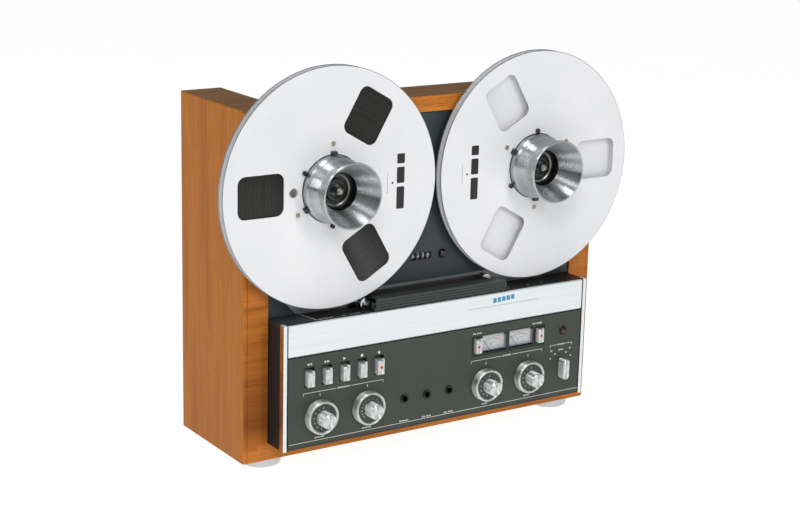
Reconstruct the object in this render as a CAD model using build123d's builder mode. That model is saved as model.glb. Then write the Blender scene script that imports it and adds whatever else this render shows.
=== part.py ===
"""Open-reel tape deck in a wooden case: X to the right, Y to the back, Z up, in millimetres.

The origin lies under the middle of the whole object, on the surface that the feet stand on.
"""
import math
import os

from build123d import *

os.makedirs("parts", exist_ok=True)

# ---------------------------------------------------------------- driving dimensions
case_width = 474.0
case_height = 391.4
case_depth = 146.5
board = 18.0                 # wooden boards of the case
stile_width = 30.5           # wood seen from the front, at each side of the deck
stile_depth = 20.0
sill = 19.0                  # bottom board
foot_height = 10.0
foot_radius = 23.0
notch_half_width = 187.0     # recess for the connectors, cut into the top from behind
notch_front = 61.5           # its front edge, behind the front of the case

reel_radius = 133.35         # a 10.5 inch reel
reel_spacing = 274.0
reel_height = 302.2          # reel axis above the bottom of the case
flange = 1.2
reel_gap = 7.9               # clear width for quarter-inch tape
hub_radius = 57.15
nab_radius = 38.1            # large centre hole of a 10.5 inch reel
reel_stand_off = 16.0        # front face of the reels in front of the case
cup_reach = 58.5             # mouths of the hub adapters in front of the case
cup_radius = 36.3

panel_stand_off = 34.0       # control panel in front of the case
panel_half_width = 200.5
panel_bottom = 22.0          # heights above the bottom of the case
strip_bottom = 124.5
ledge_height = 161.0
sheet = 2.5                  # panel, housing and deck plate thickness

running = 0.05               # radial play of shafts and pins
gap = 0.5                    # play between parts that only pass each other

# ---------------------------------------------------------------- places worked out from them
case_front = cup_reach - (case_depth + cup_reach) / 2
case_back = case_front + case_depth
case_bottom = foot_height
case_top_z = case_bottom + case_height
half_width = case_width / 2
inner_half = half_width - stile_width
board_face = half_width - board
notch_y = case_front + notch_front

deck_face = case_front + 2.0
deck_back = deck_face + sheet
panel_face = case_front - panel_stand_off
panel_back = panel_face + sheet
ledge_z = case_bottom + ledge_height
strip_z = case_bottom + strip_bottom
panel_z = case_bottom + panel_bottom
opening_top = case_top_z - board
opening_bottom = case_bottom + sill

reel_z = case_bottom + reel_height
reel_x = reel_spacing / 2
reel_front = case_front - reel_stand_off
reel_thickness = reel_gap + 2 * flange
reel_back = reel_front + reel_thickness
cup_front = case_front - cup_reach

recess_floor = case_top_z - 82.0


# ---------------------------------------------------------------- helpers
def write_piece(part, name):
    """Label a finished piece and write it as its own STEP file."""
    part.label = name
    export_step(part, f"parts/{name}.step")


def facing_front(y):
    """Plane across the deck at depth y: local x to the right, local y up, normal to the viewer."""
    return Plane.XZ.offset(-y)


def turned(x, z, profile):
    """Solid turned about the front-to-back axis through (x, z); profile is (radius, y) pairs."""
    with BuildPart() as body:
        with BuildSketch(Plane.XY.offset(z)):
            with BuildLine():
                Polyline(*[(x + radius, y) for radius, y in profile], close=True)
            make_face()
        revolve(axis=Axis((x, 0, z), (0, 1, 0)))
    return body.part


def block(x0, x1, y0, y1, z0, z1):
    """Box between two corners, to be joined to or cut from the part being built."""
    with Locations(((x0 + x1) / 2, (y0 + y1) / 2, (z0 + z1) / 2)):
        Box(abs(x1 - x0), abs(y1 - y0), abs(z1 - z0))


def cut_block(x0, x1, y0, y1, z0, z1):
    """Box-shaped pocket in the part being built."""
    with Locations(((x0 + x1) / 2, (y0 + y1) / 2, (z0 + z1) / 2)):
        Box(abs(x1 - x0), abs(y1 - y0), abs(z1 - z0), mode=Mode.SUBTRACT)


def rod(x, z, radius, y_front, y_back, mode=Mode.ADD):
    """Round bar along Y between two depths, in the part being built."""
    with Locations((x, (y_front + y_back) / 2, z)):
        Cylinder(radius, y_back - y_front, rotation=(90, 0, 0), mode=mode)


# ================================================================ wooden case
def case_side(sign):
    """Side board with the wide front stile; its top front corner is rounded."""
    outer = sign * half_width
    inner = sign * board_face
    with BuildPart() as side:
        block(inner, outer, case_front, case_back, case_bottom, case_top_z)
        corner = side.edges().filter_by(Axis.X).sort_by(Axis.Z)[-2:].sort_by(Axis.Y)[0]
        fillet(corner, radius=9.0)
        block(sign * inner_half, inner, case_front, case_front + stile_depth, opening_bottom, opening_top)
        outline = side.edges().filter_by(Axis.Z).filter_by(lambda e: abs(e.center().X - outer) < 0.01)
        fillet(outline, radius=2.0)
    return side.part


write_piece(case_side(-1), "case_left_side")
write_piece(case_side(1), "case_right_side")

with BuildPart() as case_top:
    block(-board_face, board_face, case_front, case_back, opening_top, case_top_z)
    cut_block(-notch_half_width, notch_half_width, notch_y, case_back + 1, opening_top - 1, case_top_z + 1)
    front_edge = case_top.edges().filter_by(Axis.X).group_by(Axis.Y)[0].sort_by(Axis.Z)[-1]
    fillet(front_edge, radius=1.5)
write_piece(case_top.part, "case_top")

vent_pitch = 12.0
with BuildPart() as case_bottom_board:
    block(-board_face, board_face, case_front, case_back, case_bottom, opening_bottom)
    with BuildSketch(Plane.XY.offset(case_bottom)):
        with Locations((0, 40)):
            with GridLocations(vent_pitch, 0, 17, 1):
                SlotOverall(60, 5, rotation=90)
    extrude(amount=sill, mode=Mode.SUBTRACT)
write_piece(case_bottom_board.part, "case_bottom")

foot_x = 202.0
foot_y_front = case_front + 24.0
foot_y_rear = case_back - 26.0
foot_centre_y = (foot_y_front + foot_y_rear) / 2
with BuildPart() as feet:
    with BuildSketch(Plane.XY):
        with Locations((0, foot_centre_y)):
            with GridLocations(2 * foot_x, foot_y_rear - foot_y_front, 2, 2):
                Circle(foot_radius)
    extrude(amount=foot_height)
    fillet(feet.edges().group_by(Axis.Z)[0], radius=3.0)
write_piece(feet.part, "feet")

# ================================================================ back of the case
back_sheet = 1.5
cover_y = case_back - 4.0
cover_top = recess_floor - 2.0
cover_screw_x = board_face - 10.0
cover_screw_z = [opening_bottom + 8.0, cover_top - 7.0]
with BuildPart() as back_cover:
    block(-board_face + 1, board_face - 1, cover_y - back_sheet, cover_y, opening_bottom + 1, cover_top)
    for row_z in (90.0, 200.0):
        with BuildSketch(facing_front(cover_y + 1)):
            with Locations((0, row_z)):
                with GridLocations(14, 0, 21, 1):
                    SlotOverall(46, 5, rotation=90)
        extrude(amount=4, mode=Mode.SUBTRACT)
    for x in (-cover_screw_x, cover_screw_x):
        for z in cover_screw_z:
            rod(x, z, 2.1, cover_y - 4, cover_y + 1, mode=Mode.SUBTRACT)
write_piece(back_cover.part, "back_cover")

# The connector panel is a tray of bent sheet that lines the recess in the top of the case.
tray_half = notch_half_width - 0.5
tray_front = notch_y + 0.2
phono_x = [-150.0 + 24.0 * column for column in range(5)]
phono_rows = [recess_floor + 24.0, recess_floor + 50.0]
din_x = [-22.0, 10.0]
din_z = recess_floor + 37.0
inlet_x = 78.0
inlet_z = recess_floor + 38.0
fuse_x = 42.0
socket_depth = 8.0
with BuildPart() as connector_panel:
    block(-tray_half, tray_half, tray_front, tray_front + back_sheet, recess_floor, case_top_z - 2)
    block(-tray_half, tray_half, tray_front, case_back - 2, recess_floor, recess_floor + back_sheet)
    for side in (-1, 1):
        block(side * (tray_half - back_sheet), side * tray_half, tray_front, case_back - 2,
              recess_floor, opening_top - 0.2)
    for row_z in phono_rows:
        for x in phono_x:
            rod(x, row_z, 4.6, tray_front - 1, tray_front + 4, mode=Mode.SUBTRACT)
    for x in din_x:
        rod(x, din_z, 8.1, tray_front - 1, tray_front + 4, mode=Mode.SUBTRACT)
    rod(fuse_x, din_z, 7.1, tray_front - 1, tray_front + 4, mode=Mode.SUBTRACT)
    cut_block(inlet_x - 14, inlet_x + 14, tray_front - 1, tray_front + 4, inlet_z - 10.2, inlet_z + 10.2)
write_piece(connector_panel.part, "connector_panel")

# Sockets: phono shells, two round multi-pin sockets, a fuse cap and the mains inlet.
with BuildPart() as rear_sockets:
    for row_z in phono_rows:
        for x in phono_x:
            rod(x, row_z, 4.5, tray_front - socket_depth, tray_front + back_sheet)
            rod(x, row_z, 6.5, tray_front + back_sheet, tray_front + 3.0)
            rod(x, row_z, 4.15, tray_front + 3.0, tray_front + 12.0)
            rod(x, row_z, 1.6, tray_front + 2.0, tray_front + 13.0, mode=Mode.SUBTRACT)
    for x in din_x:
        rod(x, din_z, 8.0, tray_front - 12, tray_front + back_sheet)
        rod(x, din_z, 10.5, tray_front + back_sheet, tray_front + 3.0)
        rod(x, din_z, 7.0, tray_front + 2.4, tray_front + 4.0, mode=Mode.SUBTRACT)
        for turn in (-90, -45, 0, 45, 90):
            pin_x = x + 4.0 * math.sin(math.radians(turn))
            pin_z = din_z - 4.0 * math.cos(math.radians(turn))
            rod(pin_x, pin_z, 0.9, tray_front - 5, tray_front + 3.0, mode=Mode.SUBTRACT)
    rod(fuse_x, din_z, 7.0, tray_front - 25, tray_front + back_sheet)
    rod(fuse_x, din_z, 9.0, tray_front + back_sheet, tray_front + 9.0)
    block(inlet_x - 13.8, inlet_x + 13.8, tray_front - 22, tray_front + 3.5, inlet_z - 10, inlet_z + 10)
    block(inlet_x - 22, inlet_x + 22, tray_front + back_sheet, tray_front + 3.5,
          inlet_z - 11.5, inlet_z + 11.5)
    cut_block(inlet_x - 12, inlet_x + 12, tray_front - 13, tray_front + 5, inlet_z - 8, inlet_z + 8)
    for x in (-7.0, 0.0, 7.0):
        block(inlet_x + x - 1, inlet_x + x + 1, tray_front - 14, tray_front - 1, inlet_z - 2, inlet_z + 2)
write_piece(rear_sockets.part, "rear_sockets")

# ================================================================ chassis and deck plate
chassis_half = inner_half - 1.0
chassis_plate_front = deck_back
chassis_plate = 4.0
chassis_plate_back = chassis_plate_front + chassis_plate
flange_back = chassis_plate_back + 12.0
counter_x = -7.5
counter_z = case_bottom + 207.5
reset_x = 21.5
chassis_low = opening_bottom + 1
chassis_high = opening_top - 3
spool_bore = 8.0
capstan_x = 62.0
capstan_radius = 3.6
tape_z = ledge_z + 1.5
capstan_z = tape_z + capstan_radius
pinch_radius = 9.5
pinch_gap = 2.2              # space between roller and capstan while the deck stands still
pinch_z = capstan_z - capstan_radius - pinch_gap - pinch_radius
pinch_pivot_x = 36.0
pinch_pivot_z = pinch_z - 4.0
tape_y = reel_front + reel_thickness / 2
guide_x = -93.5
guide_z = ledge_z + 7.4
well_left = -82.0            # head well below the head cover
well_right = 72.0
well_rear = deck_face - 2.5

with BuildPart() as chassis_frame:
    block(-chassis_half, chassis_half, chassis_plate_front, chassis_plate_back, chassis_low, chassis_high)
    for side in (-1, 1):
        block(side * (chassis_half - 3), side * chassis_half, chassis_plate_back, flange_back,
              chassis_low, chassis_high)
    for x in (-reel_x, reel_x):
        rod(x, reel_z, 26.0, chassis_plate_back, chassis_plate_back + 5)
        rod(x, reel_z, spool_bore, chassis_plate_front - 1, chassis_plate_back + 6, mode=Mode.SUBTRACT)
    rod(capstan_x, capstan_z, 6.0, chassis_plate_front - 1, chassis_plate_back + 6, mode=Mode.SUBTRACT)
    rod(pinch_pivot_x, pinch_pivot_z, 5.0, deck_face - 3, chassis_plate_front)
    rod(pinch_pivot_x, pinch_pivot_z, 3.0, tape_y - 5.5, deck_face - 3)
    rod(guide_x, guide_z, 2.0, tape_y - 8, chassis_plate_front)
    cut_block(counter_x - 18, reset_x + 10, chassis_plate_front - 1, chassis_plate_back + 1,
              counter_z - 11.5, counter_z + 11.5)
write_piece(chassis_frame.part, "chassis_frame")

counter_half = 13.6
counter_slot = 4.2
bevel = 18.0
with BuildPart() as deck_plate:
    with BuildSketch(facing_front(deck_back)):
        with BuildLine():
            Polyline(
                (-inner_half + 0.8, ledge_z + 0.4),
                (-170.0, ledge_z + 0.4),
                (-170.0 - bevel, ledge_z + 0.4 + bevel),
                (170.0 + bevel, ledge_z + 0.4 + bevel),
                (170.0, ledge_z + 0.4),
                (inner_half - 0.8, ledge_z + 0.4),
                (inner_half - 0.8, opening_top - 0.8),
                (-inner_half + 0.8, opening_top - 0.8),
                close=True,
            )
        make_face()
        with Locations((-reel_x, reel_z), (reel_x, reel_z)):
            Circle(spool_bore, mode=Mode.SUBTRACT)
        with Locations((counter_x, counter_z)):
            Rectangle(2 * counter_half, 2 * counter_slot, mode=Mode.SUBTRACT)
        with Locations((reset_x, counter_z)):
            Circle(5.3, mode=Mode.SUBTRACT)
    extrude(amount=sheet)
    face = deck_plate.faces().sort_by(Axis.Y)[0]
    chamfer(face.outer_wire().edges(), length=0.5)
write_piece(deck_plate.part, "deck_plate")

# ================================================================ control housing and panel
trim_outer = inner_half - 0.2
trim_width = 4.4
trim_depth = 8.5
trim_inner = trim_outer - trim_width
trim_back = panel_face - 0.6 + trim_depth
housing_half = inner_half - 1.0
housing_front = panel_back + 0.5
rib_pitch = 3.4
wall = 2.2
cover_top_z = ledge_z + 14.2
hood_front = reel_front - 0.5    # fixed rear half of the head cover
hood_left = -84.0
hood_right = 74.0
hinge_y = panel_face + 4.95
hinge_z = ledge_z + 2.9
cover_left = -87.0
cover_right = 91.0
ear = 3.0
ear_gap = 0.4
pin_radius = 0.9
switch_stub_x = [128.0, 149.0]
switch_stub_y = case_front - 21.5
with BuildPart() as control_housing:
    block(-housing_half, housing_half, trim_back + 0.2, chassis_plate_front, panel_z - 3, ledge_z)
    block(-trim_inner + 0.4, trim_inner - 0.4, housing_front, trim_back + 1, panel_z - 3, ledge_z)
    cut_block(-housing_half + 3, housing_half - 3, housing_front - 1, chassis_plate_front + 1,
              panel_z - 0.5, ledge_z - sheet)
    cut_block(well_left, well_right, housing_front + 4.5, well_rear, ledge_z - 4, ledge_z + 1)
    for side in (-1, 1):
        for index in range(7):
            rib_y = trim_back + 2.0 + rib_pitch * index
            cut_block(side * (housing_half - 0.9), side * (housing_half + 1), rib_y, rib_y + 1.4,
                      panel_z - 1, ledge_z - 2.5)
    for x0 in (cover_left - ear_gap - ear, cover_right + ear_gap):
        block(x0, x0 + ear, hinge_y - 1.9, hinge_y + 3, ledge_z, hinge_z + 2)
    for x0 in (cover_left - ear_gap, cover_right - 2.0):
        with Locations((x0 + (2.0 + ear_gap) / 2, hinge_y, hinge_z)):
            Cylinder(pin_radius, 2.0 + ear_gap, rotation=(0, 90, 0))
    for x in switch_stub_x:
        cut_block(x - 3, x + 3, switch_stub_y - 1.5, switch_stub_y + 1.5, ledge_z - 4, ledge_z + 1)
    block(hood_left, hood_right, hood_front, chassis_plate_front, cover_top_z - wall, cover_top_z)
    for x0 in (hood_left, hood_right - wall):
        block(x0, x0 + wall, tape_y + 5.5, well_rear + 1.5, ledge_z - 1, cover_top_z - 1)
write_piece(control_housing.part, "control_housing")

with BuildPart() as front_trim:
    for side in (-1, 1):
        block(side * trim_inner, side * trim_outer, panel_face - 0.6, trim_back, panel_z - 2.5, ledge_z + 1.2)
    long_edges = front_trim.edges().filter_by(Axis.Z).group_by(Axis.Y)[0]
    fillet(long_edges, radius=0.8)
    block(-panel_half_width, panel_half_width, panel_face, panel_face + 3.0, strip_z + 0.3, ledge_z + 0.4)
    strip_edges = front_trim.edges().filter_by(Axis.X).filter_by(lambda e: e.length > 300)
    strip_edges = strip_edges.group_by(Axis.Y)[0].sort_by(Axis.Z)
    fillet(strip_edges[0], radius=2.5)
    fillet(strip_edges[-1], radius=1.0)
write_piece(front_trim.part, "front_trim")

key_pitch = 22.35
key_x = [-174.2 + key_pitch * index for index in range(5)]
key_slot_z = case_bottom + 100.5
key_z = case_bottom + 99.5
key_width = 8.4
key_height = 17.7
key_slot_width = 12.8
key_slot_height = 22.4
knob_z = case_bottom + 54.0
knob_x = [-160.3, -99.3, 62.7, 123.7]
jack_x = [-49.5, -19.0, 11.5]
jack_z = case_bottom + 55.0
jack_bore = 3.25
selector_x = 174.2
selector_z = case_bottom + 56.4
lamp_x = 174.2
lamp_z = case_bottom + 102.4
window_x0 = 41.5
window_x1 = 147.0
window_z0 = case_bottom + 89.5
window_z1 = case_bottom + 114.5
sleeve_radius = 5.0
with BuildPart() as control_panel:
    block(-panel_half_width, panel_half_width, panel_face, panel_back, panel_z, strip_z)
    for x in key_x:
        cut_block(x - key_slot_width / 2, x + key_slot_width / 2, panel_face - 1, panel_back + 1,
                  key_slot_z - key_slot_height / 2, key_slot_z + key_slot_height / 2)
    cut_block(window_x0, window_x1, panel_face - 1, panel_back + 1, window_z0, window_z1)
    for x in knob_x:
        rod(x, knob_z, sleeve_radius + gap, panel_face - 1, panel_back + 1, mode=Mode.SUBTRACT)
    for x in jack_x:
        rod(x, jack_z, 4.6, panel_face - 1, panel_back + 1, mode=Mode.SUBTRACT)
    rod(selector_x, selector_z, 4.0, panel_face - 1, panel_back + 1, mode=Mode.SUBTRACT)
    rod(lamp_x, lamp_z, 4.3, panel_face - 1, panel_back + 1, mode=Mode.SUBTRACT)
write_piece(control_panel.part, "control_panel")

lamp_profile = [(0, panel_face - 2.8), (2.0, panel_face - 2.4), (3.4, panel_face - 1.4),
                (4.1, panel_face + 0.2), (4.1, panel_back), (5.5, panel_back), (5.5, panel_back + 3),
                (3.5, panel_back + 3), (3.5, panel_back + 12), (0, panel_back + 12)]
write_piece(turned(lamp_x, lamp_z, lamp_profile), "lamp_lens")

jack_length = 26.0
with BuildPart() as jack_sockets:
    for x in jack_x:
        rod(x, jack_z, 5.4, panel_face - 1.0, panel_face)
        rod(x, jack_z, 4.5, panel_face, panel_back)
        rod(x, jack_z, 6.5, panel_back, panel_face + jack_length + 4)
        rod(x, jack_z, jack_bore, panel_face - 2, panel_face + jack_length, mode=Mode.SUBTRACT)
write_piece(jack_sockets.part, "jack_sockets")

# ================================================================ knobs and the parts they turn
ring_outer = 19.3
ring_inner = 16.3
ring_front = panel_face - 9.4
ring_back = panel_face - 0.6
ring_web = ring_back - 5.6
dial_back = ring_web - 0.5
dial_front = dial_back - 1.2
dial_radius = ring_inner - 0.5
stem_radius = 3.0
knob_front = panel_face - 22.8
pot_front = panel_back + 0.1
pot_back = pot_front + 24.0
stem_end = pot_front + 10.0
sleeve_end = pot_front + 8.0


def concentric_ring(x):
    """Outer ring of a double knob, with the sleeve that turns the rear control."""
    profile = [(stem_radius + running, sleeve_end), (sleeve_radius, sleeve_end), (sleeve_radius, ring_back),
               (ring_outer, ring_back), (ring_outer - 0.2, ring_front + 0.9), (ring_outer - 0.9, ring_front),
               (ring_inner + 0.6, ring_front), (ring_inner, ring_front + 0.6),
               (ring_inner, ring_web), (stem_radius + running, ring_web)]
    return turned(x, knob_z, profile)


def inner_knob(x):
    """Tall inner knob with its round dial and the stem that runs inside the sleeve."""
    profile = [(0, stem_end), (stem_radius, stem_end), (stem_radius, dial_back), (dial_radius, dial_back),
               (dial_radius, dial_front + 0.3), (dial_radius - 0.3, dial_front), (8.4, dial_front),
               (8.2, knob_front + 0.6), (7.7, knob_front), (0, knob_front + 0.4)]
    return turned(x, knob_z, profile)


ring_names = ["monitor_ring", "mode_ring", "left_input_ring", "right_input_ring"]
inner_names = ["volume_knob", "balance_knob", "left_level_knob", "right_level_knob"]
for x, ring_name, inner_name in zip(knob_x, ring_names, inner_names):
    write_piece(concentric_ring(x), ring_name)
    write_piece(inner_knob(x), inner_name)

selector_front = panel_face - 11.0
with BuildPart() as speed_selector_knob:
    with BuildSketch(facing_front(panel_face - 0.5)):
        with Locations((selector_x, selector_z)):
            SlotOverall(25.2, 8.8, rotation=90)
    extrude(amount=panel_face - 0.5 - selector_front)
    rim = speed_selector_knob.edges().group_by(Axis.Y)[0]
    fillet(rim, radius=0.8)
    rod(selector_x, selector_z, stem_radius, panel_face - 0.5, stem_end)
write_piece(speed_selector_knob.part, "speed_selector_knob")

with BuildPart() as rotary_controls:
    for x in knob_x:
        rod(x, knob_z, 14.0, pot_front, pot_back)
        rod(x, knob_z, sleeve_radius + running, pot_front - 1, sleeve_end + gap, mode=Mode.SUBTRACT)
        rod(x, knob_z, stem_radius + running, sleeve_end, stem_end + gap, mode=Mode.SUBTRACT)
        block(x - 10, x + 10, pot_front + 12, pot_front + 14, knob_z - 22, knob_z - 12)
    rod(selector_x, selector_z, 16.0, pot_front, pot_back)
    rod(selector_x, selector_z, stem_radius + running, pot_front - 1, stem_end + gap, mode=Mode.SUBTRACT)
write_piece(rotary_controls.part, "rotary_controls")

# ================================================================ keys and buttons
key_front = panel_face - 5.5
button_front = panel_face - 3.6


def push_key(x, z, width, height, front, stem_length):
    """Key cap with bevelled edges, the upper one wider, and a stem behind it."""
    back = panel_back + 6
    with BuildPart() as key:
        block(x - width / 2, x + width / 2, front, back, z - height / 2, z + height / 2)
        face_edges = key.faces().sort_by(Axis.Y)[0].edges().sort_by(Axis.Z)
        chamfer(face_edges[-1], length=1.4)
        block(x - 2.5, x + 2.5, back, back + stem_length, z - 4, z + 4)
        face_edges = key.faces().sort_by(Axis.Y)[0].edges()
        fillet(face_edges, radius=0.4)
    return key.part


key_names = ["rewind_key", "forward_key", "play_key", "stop_key", "record_key"]
for x, name in zip(key_x, key_names):
    write_piece(push_key(x, key_z, key_width, key_height, key_front, 8.0), name)

button_x = [window_x0 + 8.7, window_x1 - 7.3]
button_z = (window_z0 + window_z1) / 2
button_width = 8.0
button_height = 17.4
button_names = ["left_record_button", "right_record_button"]
for x, name in zip(button_x, button_names):
    write_piece(push_key(x, button_z, button_width, button_height, button_front, 6.0), name)

# ================================================================ level meters
meter_x = [window_x0 + 33.2, window_x1 - 33.6]
meter_half = 17.2
meter_front = panel_face + 1.0
meter_back = panel_face + 7.5
meter_floor = window_z0 - 6.0
pivot_z = window_z0 - 1.0
pivot_y = meter_back - 2.9
with BuildPart() as meter_housing:
    block(window_x0 + 0.2, window_x1 - 0.2, meter_front, panel_back, window_z0 + 0.2, window_z1 - 0.2)
    block(window_x0 - 2, window_x1 + 2, panel_back, meter_back, meter_floor, window_z1 + 2)
    for x in meter_x:
        cut_block(x - meter_half, x + meter_half, meter_front - 1, meter_back - 1.5,
                  window_z0 + 2, window_z1 - 2)
        cut_block(x - 9, x + 9, panel_back + 0.6, meter_back - 1.5, meter_floor + 1.5, window_z0 + 3)
    for x in button_x:
        cut_block(x - button_width / 2 - 1.2, x + button_width / 2 + 1.2, meter_front - 1, meter_back + 1,
                  button_z - button_height / 2 - 1.2, button_z + button_height / 2 + 1.2)
    for x in meter_x:
        rod(x, pivot_z, 0.8, pivot_y - 1.5, meter_back - 1.5)
write_piece(meter_housing.part, "meter_housing")

needle_lean = 38.0           # degrees left of upright, where the needle rests
needle_length = 21.0


def meter_needle(x):
    """Pointer with its pivot boss, leaning to the left end of the scale."""
    with BuildPart() as needle:
        with BuildSketch(facing_front(pivot_y + 0.3)):
            with Locations((x, pivot_z)):
                with Locations(Rotation(0, 0, needle_lean)):
                    with Locations((0, needle_length / 2)):
                        Rectangle(0.5, needle_length)
                    with Locations((0, -1.6)):
                        Rectangle(1.4, 2.0)
        extrude(amount=0.6)
        rod(x, pivot_z, 2.0, pivot_y - 0.9, pivot_y + 0.9)
        rod(x, pivot_z, 0.8 + running, pivot_y - 2, pivot_y + 2, mode=Mode.SUBTRACT)
    return needle.part


for x, name in zip(meter_x, ["left_meter_needle", "right_meter_needle"]):
    write_piece(meter_needle(x), name)

# ================================================================ tape counter
drum_radius = 8.0
drum_width = 6.2
drum_pitch = 6.8
drum_y = deck_face + 1.7 + drum_radius
drum_x = [counter_x + drum_pitch * (index - 1.5) for index in range(4)]
axle_radius = 1.5


def number_drum(x):
    """Cylinder across the counter window, bored for the counter's axle."""
    with Locations((x, drum_y, counter_z)):
        Cylinder(drum_radius, drum_width, rotation=(0, 90, 0))


with BuildPart() as counter_units_drum:
    number_drum(drum_x[3])
    with Locations((drum_x[3], drum_y, counter_z)):
        Cylinder(axle_radius + running, drum_width + 1, rotation=(0, 90, 0), mode=Mode.SUBTRACT)
write_piece(counter_units_drum.part, "counter_units_drum")

with BuildPart() as counter_housing:
    block(counter_x - 17, counter_x + 17, deck_back + 0.5, deck_back + 20, counter_z - 10.5, counter_z + 10.5)
    cut_block(counter_x - 14.5, counter_x + 14.5, deck_back - 1, deck_back + 18, counter_z - 9, counter_z + 9)
    with Locations((counter_x, drum_y, counter_z)):
        Cylinder(axle_radius, 32, rotation=(0, 90, 0))
    for x in drum_x[:3]:
        number_drum(x)
    block(counter_x - 17, reset_x + 8, deck_back + 20, deck_back + 22, counter_z - 10.5, counter_z + 10.5)
write_piece(counter_housing.part, "counter_housing")

reset_profile = [(0, deck_face - 4.0), (3.6, deck_face - 4.0), (4.8, deck_face - 3.0), (4.8, deck_face + 6),
                 (3.0, deck_face + 6), (3.0, deck_face + 14), (0, deck_face + 14)]
write_piece(turned(reset_x, counter_z, reset_profile), "counter_reset_button")

# ================================================================ reels, tape and hub adapters
window_inner = 60.0
window_outer = 115.5
screw_circle = 49.5


def reel_flange(x, y_back, first_window, first_slot):
    """Flange with three rounded windows, the large centre hole and its three key slots."""
    with BuildPart() as disc:
        with BuildSketch(facing_front(y_back)):
            with Locations((x, reel_z)):
                Circle(reel_radius)
                Circle(nab_radius, mode=Mode.SUBTRACT)
                with PolarLocations((window_inner + window_outer) / 2, 3, start_angle=first_window):
                    RectangleRounded(window_outer - window_inner, 46.5, 9.0, mode=Mode.SUBTRACT)
                with PolarLocations(nab_radius, 3, start_angle=first_slot):
                    Rectangle(6.4, 6.4, mode=Mode.SUBTRACT)
                with PolarLocations(screw_circle, 3, start_angle=first_slot):
                    Circle(1.7, mode=Mode.SUBTRACT)
        extrude(amount=flange)
        rim = disc.edges().filter_by(GeomType.CIRCLE).filter_by(lambda e: abs(e.radius - reel_radius) < 0.01)
        fillet(rim, radius=0.4)
    return disc.part


def reel_hub(x, first_slot):
    """Hub between the flanges, with its key slots, screw holes and the slit that holds the tape's end."""
    with BuildPart() as hub:
        with BuildSketch(facing_front(reel_back - flange)):
            with Locations((x, reel_z)):
                Circle(hub_radius)
                Circle(nab_radius, mode=Mode.SUBTRACT)
                with PolarLocations(nab_radius, 3, start_angle=first_slot):
                    Rectangle(6.4, 6.4, mode=Mode.SUBTRACT)
                with PolarLocations(screw_circle, 3, start_angle=first_slot):
                    Circle(1.2, mode=Mode.SUBTRACT)
                with PolarLocations(hub_radius, 1, start_angle=first_slot + 60):
                    Rectangle(12, 1.6, mode=Mode.SUBTRACT)
        extrude(amount=reel_gap)
    return hub.part


spindle_radius = 4.0
spindle_tip = case_front - 33.0
platter_radius = 36.0
platter_back = reel_back + 3.0
shaft_radius = 5.0
shaft_end = chassis_plate_back + 32.0
well_floor = reel_front - 4.0
well_mouth = case_front - 32.0
well_radius = 21.0
body_radius = nab_radius - 1.1
lip = 1.8


def hub_adapter(x, first_slot):
    """Cup-shaped adapter: a base that fills the reel's centre hole and a flared, hollow front."""
    bore = spindle_radius + 0.3
    base = nab_radius - 0.15
    shoulder = reel_front + 1.0
    with BuildPart() as adapter:
        with BuildSketch(Plane.XY.offset(reel_z)):
            with BuildLine():
                Polyline((x + bore, reel_back), (x + base, reel_back), (x + base, shoulder),
                         (x + body_radius, shoulder), (x + body_radius, reel_front - 7.0),
                         (x + body_radius - 1.0, reel_front - 8.4), (x + 35.2, reel_front - 9.6))
                Spline((x + 35.2, reel_front - 9.6), (x + 30.2, cup_front + 20.0),
                       (x + cup_radius - 1.2, cup_front + 3.2), tangents=((-0.25, -1), (0.45, -1)))
                Polyline((x + cup_radius - 1.2, cup_front + 3.2), (x + cup_radius, cup_front + 1.6),
                         (x + cup_radius, cup_front + 0.5), (x + cup_radius - 0.5, cup_front),
                         (x + cup_radius - lip, cup_front), (x + well_radius, well_mouth),
                         (x + well_radius, well_floor), (x + bore, well_floor), (x + bore, reel_back))
            make_face()
        revolve(axis=Axis((x, 0, reel_z), (0, 1, 0)))
        with BuildSketch(facing_front(reel_back)):
            with Locations((x, reel_z)):
                with PolarLocations(nab_radius - 1.0, 3, start_angle=first_slot):
                    Rectangle(5.0, 5.6)
        extrude(amount=reel_thickness)
    return adapter.part


def turntable(x):
    """Platter, spindle and motor shaft in one piece."""
    profile = [(0, spindle_tip), (2.6, spindle_tip), (spindle_radius, spindle_tip + 1.6),
               (spindle_radius, reel_back), (platter_radius, reel_back), (platter_radius, platter_back - 0.8),
               (platter_radius - 0.8, platter_back), (14.0, platter_back), (12.0, deck_face - 1.2),
               (shaft_radius, deck_face - 1.2), (shaft_radius, shaft_end), (0, shaft_end)]
    return turned(x, reel_z, profile)


tape_radius = 124.0
tape_width = 6.3
for side, x, first_window in (("left", -reel_x, 180.0), ("right", reel_x, 0.0)):
    first_slot = first_window + 30.0
    front_flange = reel_flange(x, reel_front + flange, first_window, first_slot)
    back_flange = reel_flange(x, reel_back, first_window + 60.0, first_slot)
    write_piece(front_flange, f"{side}_reel_front_flange")
    write_piece(back_flange, f"{side}_reel_back_flange")
    write_piece(reel_hub(x, first_slot), f"{side}_reel_hub")
    write_piece(hub_adapter(x, first_slot), f"{side}_hub_adapter")
    write_piece(turntable(x), f"{side}_turntable")

tape_back = tape_y + tape_width / 2
tape_profile = [(hub_radius, tape_back), (tape_radius, tape_back), (tape_radius, tape_back - tape_width),
                (hub_radius, tape_back - tape_width)]
write_piece(turned(-reel_x, reel_z, tape_profile), "tape_pack")

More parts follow.
